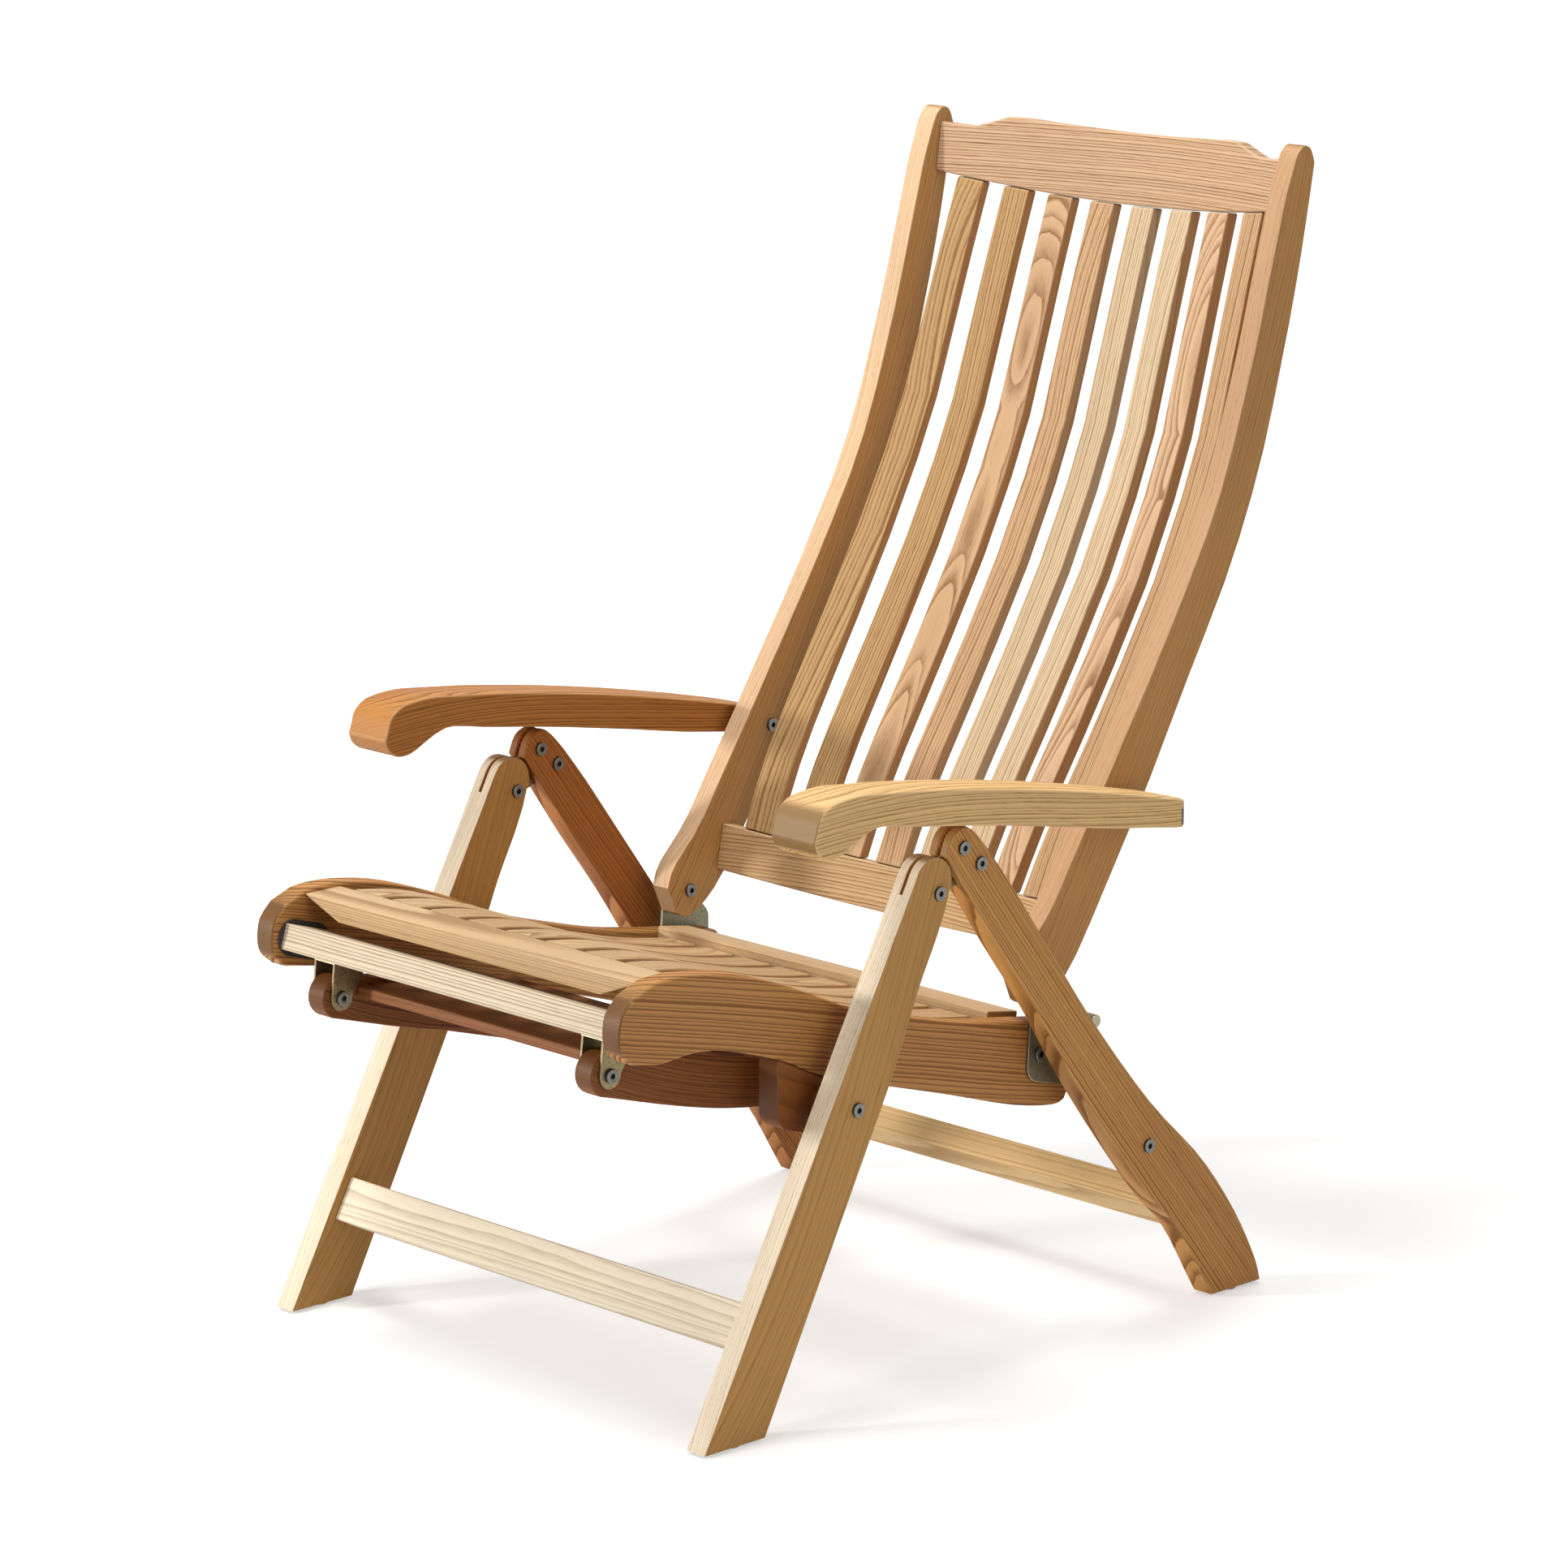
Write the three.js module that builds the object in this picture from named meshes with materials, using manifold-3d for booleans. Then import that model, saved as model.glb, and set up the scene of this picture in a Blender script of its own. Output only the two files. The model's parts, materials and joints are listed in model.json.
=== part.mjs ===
// Folding slatted lounge chair: two leg frames, a seat, a reclining back with
// arms, and a footrest that tucks under the seat.
// Units are millimetres. X runs across the chair, Y from front to back, Z up.
import * as THREE from 'three';
import Module from 'manifold-3d';
import { mergeVertices } from 'three/addons/utils/BufferGeometryUtils.js';

const wasm = await Module();
wasm.setup();

// Clearances
const GAP = 0.3; // around glued or rotated contacts
const RUN = 0.3; // between a bolt and the bore that turns on it

// Layout across the chair, measured from the middle
const LEG_INNER = 268.5;
const LEG_THICK = 23;
const RAIL_SET = 24; // from the leg in to the outer face shared by seat rail and stile
const RAIL_THICK = 24;
const STILE_THICK = 22;
const ARM_OVERHANG = 12.5; // of the arm, inwards of the leg
const ARM_WIDTH = 54;

// Bolts
const BOLT_R = 4;
const HEAD_R = 6.5;
const HEAD_H = 3;

// Front leg
const FRONT_LEG_REACH = 261; // from the toe back to where the top rounds
const FRONT_LEG_RISE = 470;
const FRONT_LEG_TOP_R = 22.4;
const FORK_WIDTH = 3.8;
const FORK_DEPTH = 15; // below the hinge bolt

// Rear leg
const REAR_LEG_SET = 8.9; // behind the leg hinge
const REAR_LEG_REACH = 429;
const REAR_LEG_RISE = 509;

// Link plate between the legs
const LINK_THICK = 3;
const LINK_R = 10;

// Stretchers between the legs
const FRONT_STRETCHER_TALL = 42;
const FRONT_STRETCHER_THICK = 22;
const REAR_STRETCHER_TALL = 34;
const REAR_STRETCHER_THICK = 27;

// Seat rail
const RAIL_LEAD = 237.4; // nose of the rail ahead of the seat pivot
const RAIL_DROP = 65; // lowest point of the rail below the seat pivot
const RAIL_REACH = 567;
const RAIL_RISE = 207;

// Hanger block with its boss at the seat pivot
const HANGER_R = 18;
const BOSS_R = 12.5; // round spacer that meets the front leg

// Front board, slats and rear cross rail of the seat
const BOARD_DEPTH = 40;
const BOARD_THICK = 19.5;
const BOARD_MITRE = 45; // inboard length of the cut lower corner
const BOARD_LIP = 2; // square edge left above the cut
const SEAT_SLATS = 8;
const SEAT_SLAT_WIDTH = 38;
const SEAT_SLAT_THICK = 10;
const SEAT_SLAT_EDGE = 19.5; // from a rail to the nearest slat
const SEAT_SLAT_DROP = 3;
const CROSS_RAIL_DEPTH = 40;
const CROSS_RAIL_THICK = 22;

// Front bar that carries the footrest
const BAR_DEPTH = 50;
const BAR_THICK = 24;
const BAR_SLOPE = 17; // degrees, falling to the rear

// Footrest
const FOOT_SET = 40.5; // from a seat rail in to the middle of a footrest rail
const FOOT_RAIL_THICK = 22;
const FOOT_RAIL_R = 20;
const FOOT_REACH = 195;
const FOOT_FALL = 64.3; // from its pivot down to the lowest point
const FOOT_SLAT_WIDTH = 48;
const FOOT_SLAT_THICK = 10;
const EAR_THICK = 2.2;
const EAR_SPREAD = 28; // outside width of a bracket
const EAR_R = 12;
const EAR_DEPTH = 38;
const EAR_SETBACK = 20; // behind the lower front edge of the bar

// Back bracket: plate and stop stud
const PLATE_THICK = 3;
const PLATE_R = 14;
const STUD_R = 6;
const STUD_LENGTH = 40;
const STUD_REST = 0.4; // between the stud and the rear leg

// Back
const STILE_SET = 489; // behind the nose of the seat rail
const STILE_LIFT = 97.2; // above the lowest point of the seat rail
const STILE_REACH = 387;
const STILE_RISE = 757;
const BACK_SLATS = 8;
const BACK_SLAT_THICK = 13.5;
const BACK_SLAT_LOW = 33.5; // width at the bottom
const BACK_SLAT_TOP = 30; // width at the top
const BACK_SLAT_EDGE = 40.5; // from a stile to the middle of the nearest slat's foot
const BACK_SLAT_GAP = 0.6; // clear of the rails at both ends
const BOW = 33; // how far the middle of the back is bowed backwards
const BOW_SLOPE = 24; // degrees below level
const CREST_THICK = 17;
const CREST_TALL = 66;
const CREST_DIP = 2.7; // sag of the lower edge in the middle
const CREST_LEAN = 8; // degrees from upright
const LOW_RAIL_TALL = 45;
const LOW_RAIL_THICK = 15.5;
const LOW_RAIL_LEAN = 11;

// Arms
const ARM_REACH = 500;
const ARM_RISE = 98.5;
const ARM_END_R = 27;
const ARM_SLOT_TALL = 14.6;
const ARM_SLOT_WIDE = 26;
const ARM_SLOT_DEEP = 20;
const ARM_BORE = 40; // depth of the blind bore for its bolt
const COLLAR_R = 9;

const STEPS = 24; // segments in a full round
const HALF_TURN = 180;
const CURVE_STEPS = 28; // points along one long edge

// Outlines, as shares of reach (front to back) and rise (bottom to top)
const FRONT_LEG_REAR_SHARES = [
  [0.276, 0], [0.808, 0.562], [0.890, 0.652], [1, 0.791], [1.082, 0.879], [1.125, 0.932],
];
const FRONT_LEG_TOP_SHARE = [1.069, 0.9894]; // centre of the rounded top
const REAR_LEG_FRONT_SHARES = [
  [0, 0.955], [0.071, 0.871], [0.148, 0.779], [0.270, 0.642], [0.421, 0.453], [0.620, 0.242],
  [0.724, 0.154], [0.812, 0.039], [0.841, 0],
];
const REAR_LEG_REAR_SHARES = [
  [1, 0], [0.979, 0.053], [0.908, 0.157], [0.796, 0.277], [0.631, 0.410], [0.461, 0.576],
  [0.327, 0.725], [0.195, 0.876], [0.118, 0.957],
];
const REAR_LEG_TOP_SHARES = [[0.118, 0.957], [0.082, 0.988], [0.054, 1], [0.019, 0.988], [0, 0.955]];
const RAIL_TOP_SHARES = [
  [0.070, 0.992], [0.104, 1], [0.155, 0.992], [0.241, 0.949], [0.353, 0.844], [0.496, 0.675],
  [0.632, 0.561], [0.736, 0.488], [0.880, 0.422], [0.974, 0.379],
];
const RAIL_END_SHARES = [[1, 0.284], [0.995, 0.116]];
const RAIL_LOW_SHARES = [
  [0.974, 0.012], [0.944, 0.001], [0.851, 0.052], [0.699, 0.183], [0.577, 0.283], [0.434, 0.400],
  [0.339, 0.522], [0.258, 0.600], [0.171, 0.653], [0.086, 0.641],
];
const RAIL_NOSE_SHARES = [[0.028, 0.669], [0.006, 0.722], [0, 0.790], [0.006, 0.880], [0.030, 0.950]];
const STILE_FRONT_SHARES = [
  [0.001, 0.043], [0.023, 0.070], [0.109, 0.117], [0.194, 0.182], [0.333, 0.290], [0.519, 0.438],
  [0.674, 0.580], [0.778, 0.726], [0.842, 0.839], [0.891, 0.929], [0.925, 0.977],
];
const STILE_CROWN_SHARES = [[0.925, 0.977], [0.940, 0.992], [0.963, 1], [0.986, 0.995], [1, 0.978]];
const STILE_REAR_SHARES = [
  [1, 0.978], [0.981, 0.926], [0.946, 0.840], [0.894, 0.736], [0.822, 0.614], [0.721, 0.494],
  [0.576, 0.365], [0.432, 0.237], [0.317, 0.145], [0.198, 0.052], [0.122, 0.013], [0.068, 0],
  [0.030, 0.008],
];
const ARM_TOP_SHARES = [
  [0.010, 0.761], [0.016, 0.853], [0.030, 0.924], [0.050, 0.970], [0.084, 0.995], [0.124, 1],
  [0.174, 0.975], [0.286, 0.914], [0.452, 0.792], [0.614, 0.650], [0.774, 0.487], [0.894, 0.350],
  [0.976, 0.250],
];
const ARM_LOW_SHARES = [
  [0.976, 0], [0.856, 0.096], [0.748, 0.178], [0.580, 0.340], [0.404, 0.492], [0.260, 0.599],
  [0.174, 0.675], [0.138, 0.655], [0.106, 0.589], [0.074, 0.508], [0.050, 0.480], [0.028, 0.497],
  [0.010, 0.569], [0.003, 0.660],
];
// Front face of a back slat, as shares of the stile's reach and rise
const SLAT_PATH_SHARES = [
  [0.187, 0.114], [0.254, 0.183], [0.332, 0.249], [0.446, 0.339], [0.611, 0.477], [0.743, 0.615],
  [0.800, 0.700], [0.848, 0.780], [0.930, 0.918],
];
// Spacing of the back slats along that path, against their pitch
const SLAT_SPREAD_SHARES = [1, 1.02, 1.037, 1.050, 1.056, 1.046, 1.035, 1.025, 1.005];
// Height of the crest's top edge above its end line, against the half width
const CREST_TOP_SHARES = [[0, 1], [0.62, 1], [0.68, 0.97], [0.75, 0.86], [0.82, 0.76], [1, 0.73]];
// Pivots and bolts, as shares of the piece that carries them
const LEG_HINGE_SHARE = [1.0962, 0.9660]; // of the front leg
const SEAT_PIVOT_SHARE = [0.7103, 0.5883]; // of the front leg
const LINK_SCREW_SHARES = [[0.0492, 0.9631], [0.0995, 0.9287]]; // of the rear leg
const BACK_PIVOT_SHARE = [0.0762, 0.0343]; // of the stile
const ARM_PIVOT_SHARE = [0.3592, 0.2289]; // of the stile
const STUD_HEIGHT_SHARE = 0.4111; // of the seat rail
const ARM_BOLT_SHARE = [0.926, 0.1724]; // of the arm
const PLATE_TOE_SHARES = [[0.9048, 0.2029], [0.9683, 0.1560]]; // of the seat rail
const FOOT_PIVOT_SHARE = [0.0626, 0.5594]; // of the seat rail
const BAR_TOE_SHARE = [0.0150, 0.7560]; // lower front edge, of the seat rail
const HANGER_SHARES = [[0.360, 0.297], [0.501, 0.184], [0.501, 0.530], [0.360, 0.650]]; // of the rail
const FRONT_STRETCHER_SHARE = [0.247, 0.2128]; // middle of its front face, of the front leg
const REAR_STRETCHER_SHARE = [0.7459, 0.1847]; // middle of the section, of the rear leg
const CROSS_RAIL_SHARE = [0.9065, 0.4324]; // upper rear edge, of the seat rail
const BOARD_SHARE = [0.0705, 0.9807]; // upper front edge, of the seat rail
const LOW_RAIL_SHARE = [0.1871, 0.1133]; // upper front edge at the ends, of the stile
const CREST_SHARE = [0.9328, 0.9185]; // lower front edge at the ends, of the stile
// Lower edge of a footrest rail behind its pivot, as shares of its reach and fall
const FOOT_LOW_SHARES = [
  [0.106, -0.414], [0.305, -0.591], [0.507, -0.756], [0.711, -0.896], [0.918, -0.997], [1, -1],
];
const FOOT_HEEL_SHARE = [0.997, -0.347];
const FOOT_SLAT_SHARES = [0.22, 0.54, 0.86]; // along the footrest rail

// Colours
const OAK = { color: '#c9995c', roughness: 0.6, metalness: 0 };
const OAK_PALE = { color: '#dcb47c', roughness: 0.6, metalness: 0 };
const OAK_BROWN = { color: '#b57d42', roughness: 0.6, metalness: 0 };
const STEEL = { color: '#8b8f8e', roughness: 0.35, metalness: 1 };
const BRONZE = { color: '#6c5f49', roughness: 0.45, metalness: 1 };
const PLATE = { color: '#9a9678', roughness: 0.4, metalness: 1 };

const quarter = HALF_TURN / 2;
const radians = THREE.MathUtils.degToRad;
const degrees = THREE.MathUtils.radToDeg;
const flat = (y, z) => new THREE.Vector2(y, z);
const unit = (angle) => flat(Math.cos(radians(angle)), Math.sin(radians(angle)));
const at = ([shareY, shareZ], y, z, reach, rise) => flat(y + shareY * reach, z + shareZ * rise);
const onFrontLeg = (share) => at(share, 0, 0, FRONT_LEG_REACH, FRONT_LEG_RISE);
const LEG_HINGE = onFrontLeg(LEG_HINGE_SHARE);
const SEAT_PIVOT = onFrontLeg(SEAT_PIVOT_SHARE);
const onRearLeg = (share) => at(share, LEG_HINGE.x + REAR_LEG_SET, 0, REAR_LEG_REACH, REAR_LEG_RISE);
const RAIL_Y = SEAT_PIVOT.x - RAIL_LEAD;
const RAIL_Z = SEAT_PIVOT.y - RAIL_DROP;
const onRail = (share) => at(share, RAIL_Y, RAIL_Z, RAIL_REACH, RAIL_RISE);
const onStile = (share) => at(share, RAIL_Y + STILE_SET, RAIL_Z + STILE_LIFT, STILE_REACH, STILE_RISE);
const ARM_PIVOT = onStile(ARM_PIVOT_SHARE);
const ARM_Y = ARM_PIVOT.x - ARM_BOLT_SHARE[0] * ARM_REACH;
const ARM_Z = ARM_PIVOT.y - ARM_BOLT_SHARE[1] * ARM_RISE;
const onArm = (share) => at(share, ARM_Y, ARM_Z, ARM_REACH, ARM_RISE);

const LINK_SCREWS = LINK_SCREW_SHARES.map(onRearLeg);
const BACK_PIVOT = onStile(BACK_PIVOT_SHARE);
const FOOT_PIVOT = onRail(FOOT_PIVOT_SHARE);
const LEG_OUTER = LEG_INNER + LEG_THICK;
const RAIL_OUTER = LEG_INNER - RAIL_SET;
const RAIL_INNER = RAIL_OUTER - RAIL_THICK;
const STILE_INNER = RAIL_OUTER - STILE_THICK;
const ARM_INNER = LEG_INNER - ARM_OVERHANG;
const FOOT_X = RAIL_INNER - FOOT_SET;
const SIDES = [['left', 1], ['right', -1]];

const chair = new THREE.Group();
chair.name = 'folding_chair';

// Adds one named mesh with a material of its own.
function place(name, geometry, look) {
  const mesh = new THREE.Mesh(geometry, new THREE.MeshStandardMaterial(look));
  mesh.name = name;
  chair.add(mesh);
}

// Points of a smooth curve through the given ones.
function smooth(points, count = CURVE_STEPS) {
  return new THREE.SplineCurve(points).getPoints(count);
}

// Points of an arc about a centre; angles in degrees, counter-clockwise.
function arc(centre, radius, from, to) {
  const { x, y } = centre;
  const curve = new THREE.EllipseCurve(x, y, radius, radius, radians(from), radians(to), to < from);
  const count = Math.ceil((Math.abs(to - from) / HALF_TURN) * (STEPS / 2));
  return curve.getPoints(count);
}

// Outline of a convex polygon, corners listed counter-clockwise, grown by a radius.
function grown(corners, radius) {
  const outline = [];
  corners.forEach((corner, i) => {
    const before = corners[(i + corners.length - 1) % corners.length];
    const after = corners[(i + 1) % corners.length];
    const start = degrees(corner.clone().sub(before).angle()) - quarter;
    let end = degrees(after.clone().sub(corner).angle()) - quarter;
    while (end < start) end += HALF_TURN * 2;
    outline.push(...arc(corner, radius, start, end));
  });
  return outline;
}

// Corners of a rectangle from one corner, an along direction in degrees and two sizes.
function slab(corner, direction, length, height) {
  const far = corner.clone().addScaledVector(unit(direction), length);
  const rise = unit(direction + quarter).multiplyScalar(height);
  return [corner.clone(), far, far.clone().add(rise), corner.clone().add(rise)];
}

// Board cut to a side outline and standing from x = start, with bores.
function board(outline, start, thickness, bores = []) {
  const turned = THREE.ShapeUtils.isClockWise(outline) ? [...outline].reverse() : outline;
  const shape = new THREE.Shape(turned);
  bores.forEach(({ centre, radius }) => {
    const hole = new THREE.Path();
    hole.absarc(centre.x, centre.y, radius, 0, Math.PI + Math.PI, true);
    shape.holes.push(hole);
  });
  const geometry = new THREE.ExtrudeGeometry(shape, {
    depth: thickness, bevelEnabled: false, curveSegments: STEPS / 2,
  });
  const across = new THREE.Vector3(0, 1, 0);
  const up = new THREE.Vector3(0, 0, 1);
  geometry.applyMatrix4(new THREE.Matrix4().makeBasis(across, up, new THREE.Vector3(1, 0, 0)));
  return geometry.translate(start, 0, 0);
}

// Start of a board that lies between inner and inner + thickness on one side of the chair.
const startOf = (side, inner, thickness) => (side > 0 ? inner : -inner - thickness);

// Solid lofted through four-cornered sections, listed from one end to the other.
function loft(sections) {
  const corners = sections[0].length;
  const positions = sections.flat().flatMap((point) => [point.x, point.y, point.z]);
  const index = [];
  const last = (sections.length - 1) * corners;
  for (let s = 0; s < sections.length - 1; s += 1) {
    for (let c = 0; c < corners; c += 1) {
      const a = s * corners + c;
      const b = s * corners + ((c + 1) % corners);
      index.push(a, b, b + corners, a, b + corners, a + corners);
    }
  }
  index.push(0, 2, 1, 0, 3, 2);
  index.push(last, last + 1, last + 2, last, last + 2, last + 3);
  const geometry = new THREE.BufferGeometry();
  geometry.setAttribute('position', new THREE.Float32BufferAttribute(positions, 3));
  geometry.setIndex(index);
  geometry.computeVertexNormals();
  return geometry;
}

function solid(geometry) {
  const bare = geometry.clone();
  bare.deleteAttribute('normal');
  bare.deleteAttribute('uv');
  const merged = mergeVertices(bare);
  return new wasm.Manifold(new wasm.Mesh({
    numProp: 3,
    vertProperties: new Float32Array(merged.attributes.position.array),
    triVerts: new Uint32Array(merged.index.array),
  }));
}

function geometryOf(manifold) {
  const mesh = manifold.getMesh();
  const geometry = new THREE.BufferGeometry();
  geometry.setAttribute('position', new THREE.BufferAttribute(mesh.vertProperties, 3));
  geometry.setIndex(new THREE.BufferAttribute(mesh.triVerts, 1));
  const flat = geometry.toNonIndexed();
  flat.computeVertexNormals();
  return flat;
}

function cut(whole, ...tools) {
  return geometryOf(tools.reduce((rest, tool) => rest.subtract(solid(tool)), solid(whole)));
}

function join(first, ...others) {
  return geometryOf(others.reduce((sum, piece) => sum.add(solid(piece)), solid(first)));
}

// Bolt along X: a lathe profile of [radius, x] pairs, centred on a pivot, for one side.
function bolt(profile, pivot, side) {
  const points = profile.map(([radius, x]) => new THREE.Vector2(radius, x));
  const geometry = new THREE.LatheGeometry(points, STEPS);
  geometry.rotateZ(-Math.PI / 2);
  if (side < 0) geometry.rotateZ(Math.PI);
  return geometry.translate(0, pivot.x, pivot.y);
}

// Profile of a bolt with a head beyond each of two faces.
function twoHeads(inner, outer) {
  return [
    [0, inner - HEAD_H], [HEAD_R, inner - HEAD_H], [HEAD_R, inner], [BOLT_R, inner],
    [BOLT_R, outer], [HEAD_R, outer], [HEAD_R, outer + HEAD_H], [0, outer + HEAD_H],
  ];
}

// Moves a point of the back along the bow, which is deepest in the middle.
function bowed(x, point) {
  const shift = BOW * (1 - (x / STILE_INNER) ** 2);
  return new THREE.Vector3(
    x,
    point.x + shift * Math.cos(radians(BOW_SLOPE)),
    point.y - shift * Math.sin(radians(BOW_SLOPE)),
  );
}

// Angle in plan, in degrees, by which the bow turns a slat at x.
function bowTurn(x) {
  const depth = BOW * Math.cos(radians(BOW_SLOPE));
  return degrees(Math.atan((depth * x * 2) / STILE_INNER ** 2));
}

const legStart = (side) => startOf(side, LEG_INNER, LEG_THICK);
const bore = (centre, radius = BOLT_R + RUN) => ({ centre, radius });

// Part of a curve that runs along Y, between two values of Y.
function between(points, low, high) {
  const heightAt = (y) => {
    const after = Math.max(1, points.findIndex((point) => point.x >= y));
    const a = points[after - 1];
    const b = points[after];
    return THREE.MathUtils.lerp(a.y, b.y, (y - a.x) / (b.x - a.x));
  };
  const inside = points.filter((point) => point.x > low && point.x < high);
  return [flat(low, heightAt(low)), ...inside, flat(high, heightAt(high))];
}

const lowered = (points, drop) => points.map((point) => flat(point.x, point.y - drop));

function frontLeg(name, side) {
  const lean = degrees(Math.atan2(FRONT_LEG_RISE, FRONT_LEG_REACH));
  const crown = arc(onFrontLeg(FRONT_LEG_TOP_SHARE), FRONT_LEG_TOP_R, lean - quarter, lean + quarter);
  const outline = [flat(0, 0), ...smooth(FRONT_LEG_REAR_SHARES.map(onFrontLeg)), ...crown];
  const bores = [bore(LEG_HINGE, BOLT_R + GAP), bore(SEAT_PIVOT)];
  const leg = board(outline, legStart(side), LEG_THICK, bores);
  const span = FRONT_LEG_TOP_R * 2;
  const floor = LEG_HINGE.clone()
    .addScaledVector(unit(lean), -FORK_DEPTH)
    .addScaledVector(unit(lean + quarter), span);
  const start = startOf(side, LEG_INNER + (LEG_THICK - FORK_WIDTH) / 2, FORK_WIDTH);
  const fork = board(slab(floor, lean - quarter, span * 2, span * 2), start, FORK_WIDTH);
  place(name, cut(leg, fork), OAK_PALE);
}

const legRear = smooth(REAR_LEG_REAR_SHARES.map(onRearLeg));

function rearLeg(name, side) {
  const outline = [
    ...legRear,
    ...smooth(REAR_LEG_TOP_SHARES.map(onRearLeg), STEPS / 2).slice(1, -1),
    ...smooth(REAR_LEG_FRONT_SHARES.map(onRearLeg)),
  ];
  const [high, low] = LINK_SCREWS;
  const leg = board(outline, legStart(side), LEG_THICK, [bore(high), bore(low)]);
  const raised = (point) => flat(point.x, REAR_LEG_RISE);
  const slot = grown([LEG_HINGE, low, raised(low), raised(LEG_HINGE)], LINK_R + RUN);
  const start = startOf(side, LEG_INNER + (LEG_THICK - FORK_WIDTH) / 2, FORK_WIDTH);
  place(name, cut(leg, board(slot, start, FORK_WIDTH)), OAK);
}

function linkPlate(name, side) {
  const [high, low] = LINK_SCREWS;
  const start = startOf(side, LEG_INNER + (LEG_THICK - LINK_THICK) / 2, LINK_THICK);
  const bores = [LEG_HINGE, low, high].map((centre) => bore(centre));
  place(name, board(grown([LEG_HINGE, low, high], LINK_R), start, LINK_THICK, bores), BRONZE);
}

function stretchers() {
  const frontLean = degrees(Math.atan2(FRONT_LEG_RISE, FRONT_LEG_REACH));
  const middle = onFrontLeg(FRONT_STRETCHER_SHARE);
  const toe = middle.clone().addScaledVector(unit(frontLean), -FRONT_STRETCHER_TALL / 2);
  const front = slab(toe, frontLean - quarter, FRONT_STRETCHER_THICK, FRONT_STRETCHER_TALL);
  place('front_stretcher', board(front, -LEG_INNER, LEG_INNER * 2), OAK_PALE);
  const [knee, foot] = REAR_LEG_FRONT_SHARES.slice(-4, -2).map(onRearLeg);
  const rearLean = degrees(knee.clone().sub(foot).angle());
  const corner = onRearLeg(REAR_STRETCHER_SHARE)
    .addScaledVector(unit(rearLean), -REAR_STRETCHER_TALL / 2)
    .addScaledVector(unit(rearLean - quarter), -REAR_STRETCHER_THICK / 2);
  const rear = slab(corner, rearLean - quarter, REAR_STRETCHER_THICK, REAR_STRETCHER_TALL);
  place('rear_stretcher', board(rear, -LEG_INNER, LEG_INNER * 2), OAK);
}

const railTop = smooth(RAIL_TOP_SHARES.map(onRail));
const railLow = smooth(RAIL_LOW_SHARES.map(onRail));

function seatRail(name, side) {
  const nose = smooth(RAIL_NOSE_SHARES.map(onRail), STEPS / 2);
  const outline = [...railLow, ...nose, ...railTop, ...RAIL_END_SHARES.map(onRail)];
  place(name, board(outline, startOf(side, RAIL_INNER, RAIL_THICK), RAIL_THICK), OAK_BROWN);
}

function hangerBlock(name, side) {
  const start = startOf(side, RAIL_INNER, RAIL_THICK);
  const inside = BOLT_R + GAP;
  const corners = HANGER_SHARES.map(onRail);
  const block = board(grown(corners, HANGER_R), start, RAIL_THICK, [bore(SEAT_PIVOT, inside)]);
  const under = lowered(railLow, GAP);
  const ceiling = RAIL_Z + RAIL_RISE * 2;
  const above = [...under, flat(under.at(-1).x, ceiling), flat(under[0].x, ceiling)];
  const end = LEG_INNER - GAP;
  const boss = bolt(
    [[inside, RAIL_OUTER], [BOSS_R, RAIL_OUTER], [BOSS_R, end], [inside, end], [inside, RAIL_OUTER]],
    SEAT_PIVOT,
    side,
  );
  place(name, join(cut(block, board(above, start, RAIL_THICK)), boss), OAK_BROWN);
}

function frontBoard() {
  const edge = onRail(BOARD_SHARE);
  const shape = new THREE.Shape([
    [-RAIL_INNER, BOARD_THICK], [-RAIL_INNER, BOARD_THICK - BOARD_LIP], [BOARD_MITRE - RAIL_INNER, 0],
    [RAIL_INNER - BOARD_MITRE, 0], [RAIL_INNER, BOARD_THICK - BOARD_LIP], [RAIL_INNER, BOARD_THICK],
  ].map(([x, z]) => flat(x, z)));
  const geometry = new THREE.ExtrudeGeometry(shape, { depth: BOARD_DEPTH, bevelEnabled: false });
  geometry.rotateX(Math.PI / 2);
  geometry.translate(0, edge.x + BOARD_DEPTH, edge.y - BOARD_THICK);
  place('front_board', geometry, OAK_PALE);
}

function crossRailOutline() {
  const [above, below] = RAIL_TOP_SHARES.slice(-2).map(onRail);
  const slope = degrees(above.clone().sub(below).angle());
  return slab(onRail(CROSS_RAIL_SHARE), slope, CROSS_RAIL_DEPTH, CROSS_RAIL_THICK);
}

function seatSlats() {
  const start = onRail(BOARD_SHARE).x + BOARD_DEPTH + GAP;
  const end = crossRailOutline()[2].x - GAP;
  const top = lowered(between(railTop, start, end), SEAT_SLAT_DROP);
  const outline = [...top, ...lowered(top, SEAT_SLAT_THICK).reverse()];
  const pitch = (RAIL_INNER * 2 - SEAT_SLAT_EDGE * 2 - SEAT_SLAT_WIDTH) / (SEAT_SLATS - 1);
  for (let i = 0; i < SEAT_SLATS; i += 1) {
    const x = (i - (SEAT_SLATS - 1) / 2) * pitch;
    place(`seat_slat_${i + 1}`, board(outline, x - SEAT_SLAT_WIDTH / 2, SEAT_SLAT_WIDTH), OAK);
  }
}

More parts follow.
